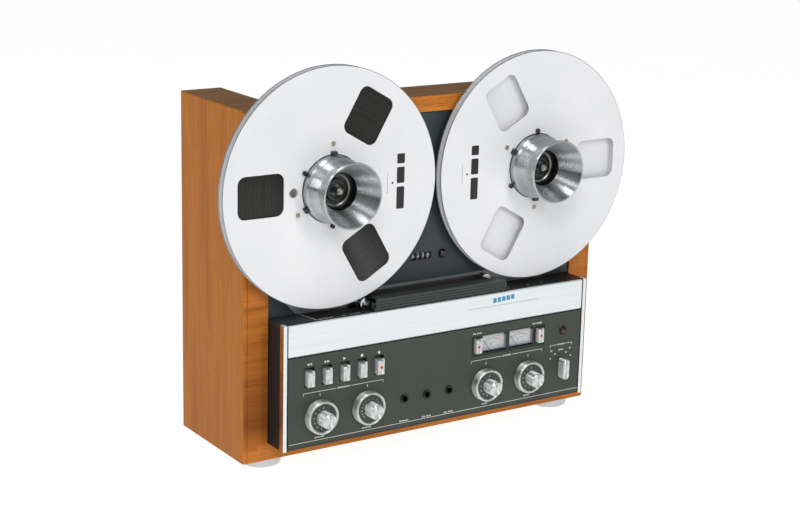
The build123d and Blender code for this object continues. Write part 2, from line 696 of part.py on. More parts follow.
# ================================================================ heads, capstan, pinch roller, guides
head_width = 14.0
head_height = 8.6
head_x = [-46.0, -14.0, 22.0]
with BuildPart() as tape_heads:
    for x in head_x:
        with BuildSketch(facing_front(tape_y + 7.0)):
            with Locations((x, tape_z + 0.4 + head_height / 2)):
                RectangleRounded(head_width, head_height, 2.2)
        extrude(amount=14.0)
        block(x - 4, x + 4, tape_y + 7.0, chassis_plate_front, tape_z + 1.5, tape_z + 7)
    for x in (-70.0, 83.0):
        rod(x, tape_z + 3.4, 3.0, tape_y - 5.0, chassis_plate_front)
        rod(x, tape_z + 3.4, 4.4, tape_y - 6.0, tape_y - 3.4)
        rod(x, tape_z + 3.4, 4.4, tape_y + 3.4, tape_y + 5.0)
    rod(83.0, ledge_z + 8.0, 6.5, deck_face - 3.0, deck_face - 1.4)
write_piece(tape_heads.part, "tape_heads")

capstan_front = tape_y - 8.0
capstan_profile = [(0, capstan_front), (capstan_radius - 0.5, capstan_front),
                   (capstan_radius, capstan_front + 0.5), (capstan_radius, chassis_plate_back + 20),
                   (0, chassis_plate_back + 20)]
write_piece(turned(capstan_x, capstan_z, capstan_profile), "capstan_shaft")

arm_back = deck_face - 3.4
arm_front = arm_back - 3.0
roller_axle = 2.0
with BuildPart() as pinch_arm:
    with BuildSketch(facing_front(arm_back)):
        with Locations(((pinch_pivot_x + capstan_x) / 2, (pinch_pivot_z + pinch_z) / 2)):
            span = math.hypot(capstan_x - pinch_pivot_x, pinch_z - pinch_pivot_z)
            slope = math.degrees(math.atan2(pinch_z - pinch_pivot_z, capstan_x - pinch_pivot_x))
            SlotCenterToCenter(span, 10.0, rotation=slope)
    extrude(amount=arm_back - arm_front)
    rod(pinch_pivot_x, pinch_pivot_z, 5.0, tape_y - 4.5, arm_front)
    rod(pinch_pivot_x, pinch_pivot_z, 3.0 + running, tape_y - 7, arm_back + 1, mode=Mode.SUBTRACT)
    rod(capstan_x, pinch_z, roller_axle, tape_y - 6.6, arm_front)
write_piece(pinch_arm.part, "pinch_arm")

roller_profile = [(roller_axle + running, tape_y - 5.5), (pinch_radius - 0.5, tape_y - 5.5),
                  (pinch_radius, tape_y - 5.0), (pinch_radius, arm_front - 1.0),
                  (pinch_radius - 0.5, arm_front - 0.5), (roller_axle + running, arm_front - 0.5)]
write_piece(turned(capstan_x, pinch_z, roller_profile), "pinch_roller")

guide_profile = [(2.0 + running, tape_y - 7.0), (6.6, tape_y - 7.0), (6.6, tape_y - 5.6), (4.8, tape_y - 3.4),
                 (4.8, tape_y + 3.4), (6.6, tape_y + 5.6), (6.6, tape_y + 7.0), (2.0 + running, tape_y + 7.0)]
write_piece(turned(guide_x, guide_z, guide_profile), "guide_roller")

# ================================================================ head cover
cover_front = hinge_y - 1.4
cover_rear = reel_front - 1.0
cover_low = ledge_z + 1.3
with BuildPart() as head_cover:
    with BuildSketch(facing_front(cover_front + wall)):
        with BuildLine():
            Polyline((cover_left, cover_low), (cover_right, cover_low), (cover_right, cover_top_z - 6.0))
            RadiusArc((cover_right, cover_top_z - 6.0), (cover_right - 6.0, cover_top_z), -6.0)
            Line((cover_right - 6.0, cover_top_z), (cover_left + 3.0, cover_top_z))
            RadiusArc((cover_left + 3.0, cover_top_z), (cover_left, cover_top_z - 3.0), -3.0)
            Line((cover_left, cover_top_z - 3.0), (cover_left, cover_low))
        make_face()
    extrude(amount=wall)
    with BuildSketch(facing_front(cover_rear)):
        with BuildLine():
            Polyline((cover_left + 3.0, cover_top_z), (cover_right - 6.0, cover_top_z),
                     (cover_right - 6.0, cover_top_z - wall), (cover_left + 3.0, cover_top_z - wall),
                     close=True)
        make_face()
    extrude(amount=cover_rear - cover_front - wall)
    for x0 in (cover_left, cover_right - 3.0):
        block(x0, x0 + 3.0, cover_front, cover_front + 11.0, cover_low, cover_top_z - 6.0)
    for row in range(3):
        rib_z = cover_low + 3.2 + 3.0 * row
        cut_block(cover_left + 2.0, cover_right - 3.0, cover_front - 1, cover_front + 0.7, rib_z, rib_z + 0.8)
    for x0 in (cover_left - 1.0, cover_right - 2.3):
        with Locations((x0 + 1.65, hinge_y, hinge_z)):
            Cylinder(pin_radius + running, 3.3, rotation=(0, 90, 0), mode=Mode.SUBTRACT)
write_piece(head_cover.part, "head_cover")

# ================================================================ drive, power supply and electronics
motor_front = chassis_plate_back + 5.0
motor_back = tray_front - socket_depth - 2.0
with BuildPart() as motors:
    for x in (-reel_x, reel_x):
        rod(x, reel_z, 44.0, motor_front, motor_back)
        rod(x, reel_z, 34.0, motor_front - 1.0, motor_front + 2.0, mode=Mode.SUBTRACT)
        rod(x, reel_z, 30.0, motor_front, motor_front + 2.0)
        rod(x, reel_z, shaft_radius + running, motor_front - 1, shaft_end + 2, mode=Mode.SUBTRACT)
    rod(capstan_x, capstan_z, 40.0, chassis_plate_back, chassis_plate_back + 78)
    rod(capstan_x, capstan_z, 36.0, chassis_plate_back + 78, chassis_plate_back + 84)
    rod(capstan_x, capstan_z, capstan_radius + running, chassis_plate_back - 1, chassis_plate_back + 22,
        mode=Mode.SUBTRACT)
write_piece(motors.part, "motors")

brake_z = reel_z - 52.0
with BuildPart() as brakes:
    block(-30, 30, chassis_plate_back, chassis_plate_back + 24, brake_z - 10, brake_z + 14)
    for side in (-1, 1):
        block(side * 30, side * 92, chassis_plate_back + 6, chassis_plate_back + 9, brake_z - 4, brake_z + 4)
        block(side * 88, side * 96, chassis_plate_back + 4, chassis_plate_back + 12,
              brake_z - 6, brake_z + 16)
write_piece(brakes.part, "brakes")

with BuildPart() as power_supply:
    block(-170, -96, 0, 62, opening_bottom + 14, opening_bottom + 74)
    block(-158, -108, -8, 70, opening_bottom + 26, opening_bottom + 62)
    block(-180, -86, -2, 64, opening_bottom + 10, opening_bottom + 14)
    for x in (-60.0, -20.0):
        with Locations((x, 40, opening_bottom + 36)):
            Cylinder(15, 52)
        with Locations((x, 40, opening_bottom + 66)):
            Cylinder(4, 8)
write_piece(power_supply.part, "power_supply")

board_thickness = 1.6
with BuildPart() as circuit_boards:
    for index in range(6):
        x = 20 + 28 * index
        block(x, x + board_thickness, -10, 84, opening_bottom + 14, opening_bottom + 92)
        for z in (26, 46, 70):
            block(x + board_thickness, x + board_thickness + 9, 2 + 8 * (index % 3), 14 + 8 * (index % 3),
                  opening_bottom + z, opening_bottom + z + 10)
    block(14, 196, -12, 86, opening_bottom + 11, opening_bottom + 14)
write_piece(circuit_boards.part, "circuit_boards")

# ================================================================ fasteners
with BuildPart() as screws:
    for x in (-cover_screw_x, cover_screw_x):
        for z in cover_screw_z:
            rod(x, z, 3.6, cover_y, cover_y + 2.2)
            rod(x, z, 2.0, cover_y - 12, cover_y)
    for x in (-199.0, 199.0):
        for z in (ledge_z + 30, opening_top - 12):
            rod(x, z, 3.4, deck_face - 1.6, deck_face)
write_piece(screws.part, "screws")
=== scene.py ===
"""Looks of an open-reel tape deck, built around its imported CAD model. Metres, +X right, +Y back, +Z up."""
import math

import bmesh
import bpy
from mathutils import Matrix, Vector


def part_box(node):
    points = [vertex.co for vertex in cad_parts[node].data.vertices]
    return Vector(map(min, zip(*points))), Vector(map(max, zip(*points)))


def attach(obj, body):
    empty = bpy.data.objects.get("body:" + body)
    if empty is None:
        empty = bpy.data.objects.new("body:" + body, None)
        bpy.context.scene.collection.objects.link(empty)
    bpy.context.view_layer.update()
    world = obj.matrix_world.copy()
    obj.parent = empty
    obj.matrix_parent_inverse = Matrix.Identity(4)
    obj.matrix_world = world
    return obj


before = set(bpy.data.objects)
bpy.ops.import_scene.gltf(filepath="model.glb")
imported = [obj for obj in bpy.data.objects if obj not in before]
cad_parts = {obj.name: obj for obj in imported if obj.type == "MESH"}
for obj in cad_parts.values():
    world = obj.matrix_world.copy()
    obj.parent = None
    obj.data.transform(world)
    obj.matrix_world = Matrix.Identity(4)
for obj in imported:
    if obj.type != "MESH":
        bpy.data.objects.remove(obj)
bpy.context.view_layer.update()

MM = 0.001
INK = 0.08 * MM              # how far printed marks stand out of a surface
TURN = 2 * math.pi

# ---------------------------------------------------------------- places read from the frame
panel_low, panel_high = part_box("control_panel")
PANEL_Y = panel_low.y
TRIM_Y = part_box("front_trim")[0].y
deck_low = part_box("deck_plate")[0]
LEDGE_Z = deck_low.z - 0.4 * MM
CASE_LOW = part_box("case_left_side")[0]
CASE_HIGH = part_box("case_right_side")[1]


def middle(node):
    """Centre of a CAD node's box."""
    low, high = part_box(node)
    return (low + high) / 2


REEL_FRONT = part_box("left_reel_front_flange")[0].y
REEL_RADIUS = (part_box("left_reel_front_flange")[1].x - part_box("left_reel_front_flange")[0].x) / 2
LEFT_AXIS = middle("left_reel_front_flange")
RIGHT_AXIS = middle("right_reel_front_flange")
KNOB_NAMES = ["volume_knob", "balance_knob", "left_level_knob", "right_level_knob"]
RING_NAMES = ["monitor_ring", "mode_ring", "left_input_ring", "right_input_ring"]
KEY_NAMES = ["rewind_key", "forward_key", "play_key", "stop_key", "record_key"]


# ---------------------------------------------------------------- shader helpers
def linear(red, green, blue):
    """Display colour in 0-255 steps as the linear colour that shaders take."""
    def channel(value):
        value /= 255
        return value / 12.92 if value <= 0.04045 else ((value + 0.055) / 1.055) ** 2.4
    return (channel(red), channel(green), channel(blue), 1.0)


def shaded(colour, factor):
    """Linear colour made darker or lighter by a factor."""
    return tuple(min(1.0, channel * factor) for channel in colour[:3]) + (1.0,)


class Shader:
    """A material's node tree, with short calls for the nodes used here."""

    def __init__(self, name):
        self.material = bpy.data.materials.new(name)
        self.material.use_nodes = True
        self.tree = self.material.node_tree
        self.tree.nodes.clear()
        self.surface = self.tree.nodes.new("ShaderNodeBsdfPrincipled")
        output = self.tree.nodes.new("ShaderNodeOutputMaterial")
        self.tree.links.new(self.surface.outputs[0], output.inputs[0])

    def node(self, kind, **inputs):
        """New node; inputs are set or linked by their socket's name, with _ for a space."""
        made = self.tree.nodes.new(kind)
        for key, value in inputs.items():
            self.put(made.inputs[key.replace("_", " ")], value)
        return made

    def put(self, socket, value):
        """Sets a socket, or links it when the value is another node's output."""
        if isinstance(value, bpy.types.NodeSocket):
            self.tree.links.new(value, socket)
        else:
            socket.default_value = value

    def coords(self, scale=(1, 1, 1), origin=(0, 0, 0)):
        """Object coordinates less an origin, stretched by scale."""
        place = self.node("ShaderNodeTexCoord").outputs["Object"]
        moved = self.combine("ShaderNodeVectorMath", "SUBTRACT", place, origin)
        return self.combine("ShaderNodeVectorMath", "MULTIPLY", moved, scale)

    def noise(self, vector, scale=1.0, detail=3.0, roughness=0.55):
        """Soft noise over a vector, from 0 to 1."""
        made = self.node("ShaderNodeTexNoise", Vector=vector, Scale=scale, Detail=detail, Roughness=roughness)
        return made.outputs["Fac"]

    def combine(self, kind, operation, first, second):
        """Math or vector math node over two values."""
        made = self.node(kind)
        made.operation = operation
        self.put(made.inputs[0], first)
        self.put(made.inputs[1], second)
        return made.outputs[0]

    def math(self, operation, first, second=0.0):
        """Sum, product or other operation over numbers."""
        return self.combine("ShaderNodeMath", operation, first, second)

    def facing(self):
        """The surface's own direction, split into X, Y and Z."""
        normal = self.node("ShaderNodeNewGeometry").outputs["Normal"]
        return self.node("ShaderNodeSeparateXYZ", Vector=normal).outputs

    def ramp(self, factor, stops):
        """Colour ramp over (position, colour) stops."""
        made = self.node("ShaderNodeValToRGB", Fac=factor)
        elements = made.color_ramp.elements
        while len(elements) < len(stops):
            elements.new(0.5)
        for element, (position, colour) in zip(elements, stops):
            element.position = position
            element.color = colour
        return made.outputs["Color"]

    def blend(self, factor, first, second, mode="MIX"):
        """Colour that runs from the first to the second (or to their product) with the factor."""
        made = self.node("ShaderNodeMix")
        made.data_type = "RGBA"
        made.blend_type = mode
        self.put(made.inputs[0], factor)
        self.put(made.inputs[6], first)
        self.put(made.inputs[7], second)
        return made.outputs[2]

    def span(self, value, low, high, start=0.0, end=1.0):
        """Number that runs from start to end as the value runs from low to high."""
        made = self.node("ShaderNodeMapRange", Value=value, From_Min=low, From_Max=high)
        self.put(made.inputs["To Min"], start)
        self.put(made.inputs["To Max"], end)
        return made.outputs[0]

    def between(self, factor, low, high):
        """Number that runs from low to high as the factor runs from 0 to 1."""
        return self.span(factor, 0.0, 1.0, low, high)

    def bump(self, height, strength, distance):
        """Fine relief of the surface."""
        made = self.node("ShaderNodeBump", Height=height, Strength=strength, Distance=distance)
        self.put(self.surface.inputs["Normal"], made.outputs[0])

    def radius(self, centre):
        """Distance from the front-to-back axis through centre."""
        length = self.node("ShaderNodeVectorMath")
        length.operation = "LENGTH"
        self.put(length.inputs[0], self.coords(scale=(1, 0, 1), origin=(centre[0], 0, centre[2])))
        return length.outputs["Value"]

    def rings(self, centre, scale, detail=2.0):
        """Noise that changes only with the distance from an axis."""
        made = self.node("ShaderNodeTexNoise", Scale=scale, Detail=detail, Roughness=0.6)
        made.noise_dimensions = "1D"
        self.put(made.inputs["W"], self.radius(centre))
        return made.outputs["Fac"]

    def circling(self):
        """Tangent that runs round the object's own front-to-back axis, as lathe grooves do."""
        made = self.node("ShaderNodeTangent")
        made.direction_type = "RADIAL"
        made.axis = "Y"
        return made.outputs[0]

    def finish(self, color, metallic=0.0, roughness=0.5, **more):
        """Sets the surface's inputs and hands over the material."""
        self.put(self.surface.inputs["Base Color"], color)
        self.put(self.surface.inputs["Metallic"], metallic)
        self.put(self.surface.inputs["Roughness"], roughness)
        for key, value in more.items():
            self.put(self.surface.inputs[key.replace("_", " ")], value)
        return self.material


# ---------------------------------------------------------------- materials
def wood_colour(shader, grain, shade):
    """Straight-grained timber: broad bands, fine fibres and short dark pores along the grain axis."""
    def along(across, lengthwise):
        return tuple(lengthwise if axis == grain else across for axis in "xyz")
    warp = shader.noise(shader.coords(scale=along(9, 1.4)), detail=2.0)
    bands = shader.combine("ShaderNodeVectorMath", "ADD", shader.coords(scale=along(75, 2.6)),
                           shader.math("MULTIPLY", warp, 3.0))
    figure = shader.noise(bands, detail=4.0, roughness=0.5)
    fibre = shader.noise(shader.coords(scale=along(900, 22)))
    pores = shader.span(shader.noise(shader.coords(scale=along(1100, 75)), detail=2.0), 0.60, 0.72)
    light, medium, dark, pore = shade
    colour = shader.ramp(figure, [(0.30, dark), (0.46, medium), (0.62, light), (0.80, medium)])
    fibre_tint = shader.ramp(fibre, [(0.30, (0.55, 0.50, 0.45, 1)), (0.70, (1, 1, 1, 1))])
    colour = shader.blend(0.55, colour, fibre_tint, mode="MULTIPLY")
    colour = shader.blend(shader.math("MULTIPLY", pores, 0.55), colour, pore)
    return colour, shader.math("SUBTRACT", shader.math("MULTIPLY", fibre, 0.5), pores)


SIDE_SHADE = (linear(188, 115, 30), linear(180, 108, 26), linear(168, 97, 22), linear(108, 55, 12))
FRONT_SHADE = (linear(220, 138, 52), linear(208, 124, 44), linear(186, 104, 34), linear(112, 54, 14))
# Upper faces: darker, greyer tones of the same timber, painted shade.
TOP_PAINTED_SHADE = (linear(132, 106, 76), linear(122, 96, 68), linear(108, 84, 60), linear(76, 56, 40))


def case_wood(name, side_grain, front_grain, upright):
    """Oiled case timber; its upper faces take a darker, greyer copy of it as painted shade, and an upright
    also has a lipping line and painted shade low on its front.
    """
    shader = Shader(name)
    broad, broad_relief = wood_colour(shader, side_grain, SIDE_SHADE)
    front, front_relief = wood_colour(shader, front_grain, FRONT_SHADE)
    top, _ = wood_colour(shader, "x", TOP_PAINTED_SHADE)
    facing = shader.facing()
    faces_front = shader.span(shader.math("ABSOLUTE", facing["Y"]), 0.6, 0.8)
    faces_up = shader.span(facing["Z"], 0.6, 0.8)
    colour = shader.blend(faces_front, broad, front)
    # painted shade: faces that look up blend towards the darker, greyer top copy
    colour = shader.blend(shader.math("MULTIPLY", faces_up, 0.85), colour, top)
    relief = shader.math("ADD", broad_relief, shader.math("MULTIPLY", front_relief, 0.5))
    if upright:
        place = shader.node("ShaderNodeSeparateXYZ", Vector=shader.coords()).outputs
        # painted shade over the lower front, fading upwards and lifting again just above the foot
        darker_down = shader.span(place["Z"], 0.06, 0.22, start=0.72, end=0.0)
        above_foot = shader.span(place["Z"], 0.018, 0.05)
        painted_low_shade = shader.math("MULTIPLY", shader.math("MULTIPLY", darker_down, above_foot), faces_front)
        colour = shader.blend(painted_low_shade, colour, linear(96, 40, 8))
        from_edge = shader.math("SUBTRACT", CASE_HIGH.x - 5 * MM, shader.math("ABSOLUTE", place["X"]))
        line = shader.math("LESS_THAN", shader.math("ABSOLUTE", from_edge), 0.25 * MM)
        colour = shader.blend(shader.math("MULTIPLY", line, faces_front), colour, linear(78, 40, 20))
    shader.bump(relief, 0.3, 0.2 * MM)
    rough = shader.between(broad_relief, 0.48, 0.64)
    return shader.finish(colour, roughness=rough, Specular_IOR_Level=0.2)


def painted(name, colour, roughness, grain=1500.0, strength=0.12, variation=0.12, metallic=0.0, coat=0.0):
    """Paint or moulded plastic with a fine texture and a slight unevenness of tone; colour in 0-255 steps."""
    shader = Shader(name)
    base = linear(*colour)
    fine = shader.noise(shader.coords(), scale=grain, detail=2.0)
    broad = shader.noise(shader.coords(), scale=14.0, detail=3.0)
    tone = shader.ramp(broad, [(0.3, shaded(base, 1 - variation)), (0.7, shaded(base, 1 + variation))])
    shader.bump(fine, strength, 0.1 * MM)
    rough = shader.between(fine, roughness - 0.06, roughness + 0.06)
    return shader.finish(tone, metallic=metallic, roughness=rough, Coat_Weight=coat, Coat_Roughness=0.2)


def brushed(name, colour, roughness, along="x", fine=1400.0, strength=0.12):
    """Metal with straight brush lines along one axis; colour in 0-255 steps."""
    shader = Shader(name)
    base = linear(*colour)
    scale = tuple(4 if axis == along else fine for axis in "xyz")
    lines = shader.noise(shader.coords(scale=scale))
    smudge = shader.noise(shader.coords(), scale=9.0)
    tone = shader.ramp(lines, [(0.35, shaded(base, 0.88)), (0.65, base)])
    shader.bump(lines, strength, 0.05 * MM)
    rough = shader.math("ADD", shader.between(lines, roughness - 0.05, roughness + 0.05),
                        shader.between(smudge, -0.03, 0.04))
    return shader.finish(tone, metallic=1.0, roughness=rough)


def strip_metal():
    """Satin anodised strip: painted shade darkens its downward-facing lower lip, and its narrow sides are
    polished, with a warm painted reflection of the wood in their colour.
    """
    shader = Shader("strip_metal")
    lines = shader.noise(shader.coords(scale=(4, 1800, 1800)))
    tone = shader.ramp(lines, [(0.35, linear(228, 235, 236)), (0.65, linear(236, 243, 244))])
    facing = shader.facing()
    # painted shade on faces that look down
    tone = shader.blend(shader.span(facing["Z"], -0.05, -0.75), tone, linear(84, 90, 92))
    side = shader.span(shader.math("ABSOLUTE", facing["X"]), 0.75, 0.95)
    # warm tint of the polished side faces: painted reflection of the wood
    tone = shader.blend(side, tone, linear(214, 206, 196))
    shader.bump(lines, 0.04, 0.05 * MM)
    rough = shader.between(side, 0.5, 0.16)
    return shader.finish(tone, metallic=shader.between(side, 0.7, 1.0), roughness=rough)


def turned(name, centre, colour, roughness, pitch=2600.0, strength=0.15, stretch=0.9):
    """Metal turned on a lathe: fine grooves that circle the axis and stretch each highlight across them."""
    shader = Shader(name)
    base = linear(*colour)
    grooves = shader.rings(centre, pitch)
    wide = shader.rings(centre, pitch / 14)
    mixed = shader.math("ADD", shader.math("MULTIPLY", grooves, 0.6), shader.math("MULTIPLY", wide, 0.4))
    tone = shader.ramp(mixed, [(0.35, shaded(base, 0.82)), (0.62, base)])
    shader.bump(grooves, strength, 0.04 * MM)
    rough = shader.between(grooves, roughness - 0.05, roughness + 0.06)
    return shader.finish(tone, metallic=1.0, roughness=rough, Anisotropic=stretch,
                         Anisotropic_Rotation=0.25, Tangent=shader.circling())


def reel_paint(name, centre):
    """Satin white reel: bare metal at the rim, faint marks that circle the hub, a few scuffs."""
    shader = Shader(name)
    radius = shader.radius(centre)
    circles = shader.rings(centre, 700.0)
    cloud = shader.noise(shader.coords(), scale=11.0, detail=4.0)
    white = shader.ramp(cloud, [(0.3, linear(226, 227, 229)), (0.7, linear(236, 236, 237))])
    tone = shader.blend(shader.math("MULTIPLY", circles, 0.05), white, linear(190, 190, 194))
    rim = shader.span(radius, REEL_RADIUS - 0.9 * MM, REEL_RADIUS - 0.5 * MM)
    tone = shader.blend(rim, tone, linear(150, 154, 158))
    shader.bump(circles, 0.03, 0.05 * MM)
    return shader.finish(tone, metallic=shader.math("MULTIPLY", rim, 0.8),
                         roughness=shader.between(cloud, 0.34, 0.42), Specular_IOR_Level=0.45)


def tape_edges(name, centre):
    """Side of a wound tape pack: near-black turns, with painted highlights on those that stand proud."""
    shader = Shader(name)
    turns = shader.rings(centre, 6000.0, detail=4.0)
    groups = shader.rings(centre, 900.0, detail=4.0)
    height = shader.math("ADD", shader.math("MULTIPLY", turns, 0.5), groups)
    # the highest turns are painted lighter: painted highlight
    stops = [(0.50, linear(7, 7, 5)), (0.80, linear(16, 16, 13)), (1.0, linear(52, 51, 45))]
    tone = shader.ramp(height, stops)
    shader.bump(height, 0.25, 0.1 * MM)
    return shader.finish(tone, roughness=shader.between(groups, 0.38, 0.48), Specular_IOR_Level=0.5,
                         Anisotropic=1.0, Anisotropic_Rotation=0.25, Tangent=shader.circling())


def glassy(name, colour, alpha, roughness=0.05):
    """Thin clear or tinted plastic, with a trace of dust."""
    shader = Shader(name)
    dust = shader.noise(shader.coords(), scale=260.0)
    rough = shader.between(dust, roughness, roughness + 0.06)
    return shader.finish(linear(*colour), roughness=rough, Alpha=alpha)


# ---------------------------------------------------------------- mesh helpers
def piece(name, mesh, material, body, smooth=False):
    """Object from a bmesh, riding on a body and taking the material it is given."""
    bmesh.ops.remove_doubles(mesh, verts=mesh.verts, dist=1e-7)
    bmesh.ops.recalc_face_normals(mesh, faces=mesh.faces)
    data = bpy.data.meshes.new(name)
    mesh.to_mesh(data)
    mesh.free()
    data.materials.append(material)
    made = bpy.data.objects.new(name, data)
    bpy.context.scene.collection.objects.link(made)
    if smooth:
        data.shade_smooth()
        data.set_sharp_from_angle(angle=math.radians(35))
    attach(made, body)
    return made


def lathe(mesh, centre, base, profile, segments=64, start=0.0, sweep=TURN):
    """Solid turned about the front-to-back axis through centre.

    The profile is closed and holds (radius, depth behind base) in mm."""
    closed = sweep >= TURN
    count = segments if closed else segments + 1
    columns = []
    for step in range(count):
        angle = start + sweep * step / segments
        across, up = math.cos(angle) * MM, math.sin(angle) * MM
        places = [(centre[0] + radius * across, base + depth * MM, centre[2] + radius * up)
                  for radius, depth in profile]
        columns.append([mesh.verts.new(place) for place in places])
    for step in range(segments):
        first = columns[step]
        second = columns[(step + 1) % count]
        for index in range(len(profile)):
            following = (index + 1) % len(profile)
            if profile[index][0] > 0 or profile[following][0] > 0:
                mesh.faces.new([first[index], first[following], second[following], second[index]])
    if not closed:
        mesh.faces.new(columns[0])
        mesh.faces.new(list(reversed(columns[-1])))


def turned_piece(name, centre, base, profile, material, body, segments=64):
    """Piece that is a single turned solid."""
    mesh = bmesh.new()
    lathe(mesh, centre, base, profile, segments)
    piece(name, mesh, material, body, smooth=True)


def solid_between(mesh, first, second):
    """Closed solid between two outlines with the same number of (x, y, z) points."""
    front = [mesh.verts.new(point) for point in first]
    back = [mesh.verts.new(point) for point in second]
    mesh.faces.new(front)
    mesh.faces.new(list(reversed(back)))
    for index in range(len(front)):
        following = (index + 1) % len(front)
        mesh.faces.new([front[index], back[index], back[following], front[following]])


def prism(mesh, outline, y_front, y_back):
    """Flat shape seen from the front, given as (x, z) points, with a thickness."""
    solid_between(mesh, [(x, y_front, z) for x, z in outline], [(x, y_back, z) for x, z in outline])


def printed_on(y):
    """Front and back of a mark printed on a surface that faces the front."""
    return (y - INK, y + INK)


def bar(mesh, x0, x1, z0, z1, y_front, y_back):
    """Upright rectangle with a thickness."""
    prism(mesh, [(x0, z0), (x1, z0), (x1, z1), (x0, z1)], y_front, y_back)


def rounded(x0, x1, z0, z1, radius, steps=6):
    """Outline of a rectangle with rounded corners."""
    corners = [(x1 - radius, z1 - radius, 0), (x0 + radius, z1 - radius, 90),
               (x0 + radius, z0 + radius, 180), (x1 - radius, z0 + radius, 270)]
    return [(x + radius * math.cos(math.radians(turn + 90 * step / steps)),
             z + radius * math.sin(math.radians(turn + 90 * step / steps)))
            for x, z, turn in corners for step in range(steps + 1)]


def disc(mesh, x, z, radius, y_front, y_back, segments=24):
    """Round plate with its edge cut into straight segments."""
    outline = [polar((x, 0, z), radius, 360 * step / segments) for step in range(segments)]
    prism(mesh, outline, y_front, y_back)


def polar(centre, radius, degrees):
    """Point (x, z) at a distance and angle from an axis; the angle runs counter-clockwise from the right."""
    angle = math.radians(degrees)
    return (centre[0] + radius * math.cos(angle), centre[2] + radius * math.sin(angle))


def radial_mark(mesh, centre, degrees, inner, outer, half_turn, y_front, y_back):
    """Mark that points at an axis, between two radii in mm; half_turn is half its width in radians."""
    outline = [polar(centre, radius * MM, degrees + side * math.degrees(half_turn))
               for radius, side in ((inner, -1), (outer, -1), (outer, 1), (inner, 1))]
    prism(mesh, outline, y_front, y_back)


def slotted_screw(mesh, x, z, radius, base, height, turn):
    """Domed screw head with a real driver slot across it; radius and height are in mm."""
    slot_floor = -0.45 * height
    lathe(mesh, (x, 0, z), base, [(0, 0), (radius, 0), (radius, slot_floor), (0, slot_floor)], segments=28)
    limit = math.degrees(math.asin(0.16))
    for half in (0, 180):
        angles = [turn + half + limit + (180 - 2 * limit) * step / 12 for step in range(13)]
        loops = []
        for share, depth in ((1.0, 0.45), (1.0, 0.8), (0.8, 1.0)):
            places = [polar((x, 0, z), radius * share * MM, angle) for angle in angles]
            loops.append([mesh.verts.new((px, base - depth * height * MM, pz)) for px, pz in places])
        mesh.faces.new(loops[2])
        mesh.faces.new(list(reversed(loops[0])))
        for low, high in zip(loops, loops[1:]):
            for index in range(len(angles)):
                following = (index + 1) % len(angles)
                mesh.faces.new([low[index], low[following], high[following], high[index]])


# ---------------------------------------------------------------- finishes of the CAD nodes
def dress(node, material):
    """Gives a CAD node its material."""
    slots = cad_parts[node].data.materials
    slots.clear()
    slots.append(material)


WHITE_INK = painted("white_ink", (214, 216, 212), 0.55, strength=0.03, variation=0.04)
BLACK_INK = painted("black_ink", (22, 22, 24), 0.45, strength=0.03, variation=0.1)
GREY_INK = painted("grey_ink", (150, 150, 152), 0.5, strength=0.03, variation=0.08)
RED_PAINT = painted("red_paint", (206, 34, 24), 0.35, strength=0.04, variation=0.1)
BLUE_INK = painted("blue_ink", (62, 140, 178), 0.4, strength=0.03, variation=0.06)
BLACK_GLOSS = painted("black_gloss", (18, 18, 19), 0.22, strength=0.03, variation=0.15)
BLACK_MATT = painted("black_matt", (26, 26, 27), 0.55, strength=0.15, variation=0.12)
GUNMETAL = painted("gunmetal", (70, 74, 78), 0.4, strength=0.05, variation=0.12, metallic=0.8)
STEEL = brushed("small_steel", (190, 190, 188), 0.3, along="x", strength=0.1)
WELL_METAL = painted("well_metal", (128, 126, 120), 0.3, strength=0.05, variation=0.05, metallic=0.9)
SLATE = painted("slate_paint", (46, 56, 60), 0.5, grain=1100.0, strength=0.18, variation=0.06)

for node in ("case_left_side", "case_right_side"):
    dress(node, case_wood(node + "_wood", "z", "x", True))
for node in ("case_top", "case_bottom"):
    dress(node, case_wood(node + "_wood", "x", "x", False))
dress("feet", brushed("foot_metal", (206, 207, 206), 0.36, along="z", strength=0.06))
dress("back_cover", painted("back_paint", (48, 49, 51), 0.5, strength=0.2))
dress("connector_panel", painted("connector_paint", (42, 43, 45), 0.45, strength=0.15))
dress("rear_sockets", painted("socket_plastic", (24, 24, 25), 0.35, strength=0.06))
dress("chassis_frame", painted("cast_metal", (168, 170, 172), 0.5, grain=700.0, strength=0.3, metallic=0.9))
dress("deck_plate", SLATE)
dress("control_housing", painted("housing_plastic", (34, 32, 31), 0.46, grain=900.0, strength=0.18))
dress("front_trim", strip_metal())
dress("control_panel", painted("panel_paint", (53, 60, 52), 0.55, grain=1300.0, strength=0.1, variation=0.05))
dress("lamp_lens", painted("lamp_plastic", (44, 10, 11), 0.15, strength=0.02, coat=0.6))
dress("jack_sockets", BLACK_GLOSS)
dress("rotary_controls", brushed("plated_can", (180, 180, 176), 0.35, along="y"))
dress("meter_housing", painted("meter_plastic", (22, 22, 23), 0.3, strength=0.04))
dress("counter_housing", painted("counter_plastic", (22, 22, 24), 0.4, strength=0.05))
dress("counter_units_drum", painted("drum_plastic", (22, 22, 24), 0.4, strength=0.05))
dress("counter_reset_button", BLACK_GLOSS)
dress("tape_heads", brushed("head_metal", (196, 196, 192), 0.2, along="x", strength=0.05))
dress("motors", painted("motor_paint", (92, 94, 96), 0.4, strength=0.1, metallic=0.5))
dress("brakes", brushed("brake_steel", (180, 180, 176), 0.35))
dress("power_supply", brushed("lamination_steel", (90, 88, 86), 0.5, along="x", fine=2400.0, strength=0.4))
dress("circuit_boards", painted("board_lacquer", (48, 92, 54), 0.35, strength=0.08))
dress("screws", brushed("screw_steel", (120, 120, 122), 0.35))
dress("capstan_shaft", turned("capstan_steel", middle("capstan_shaft"), (200, 202, 204), 0.15, strength=0.02))
dress("pinch_arm", brushed("arm_steel", (176, 176, 174), 0.32))
dress("pinch_roller", painted("roller_rubber", (24, 24, 24), 0.7, strength=0.2))
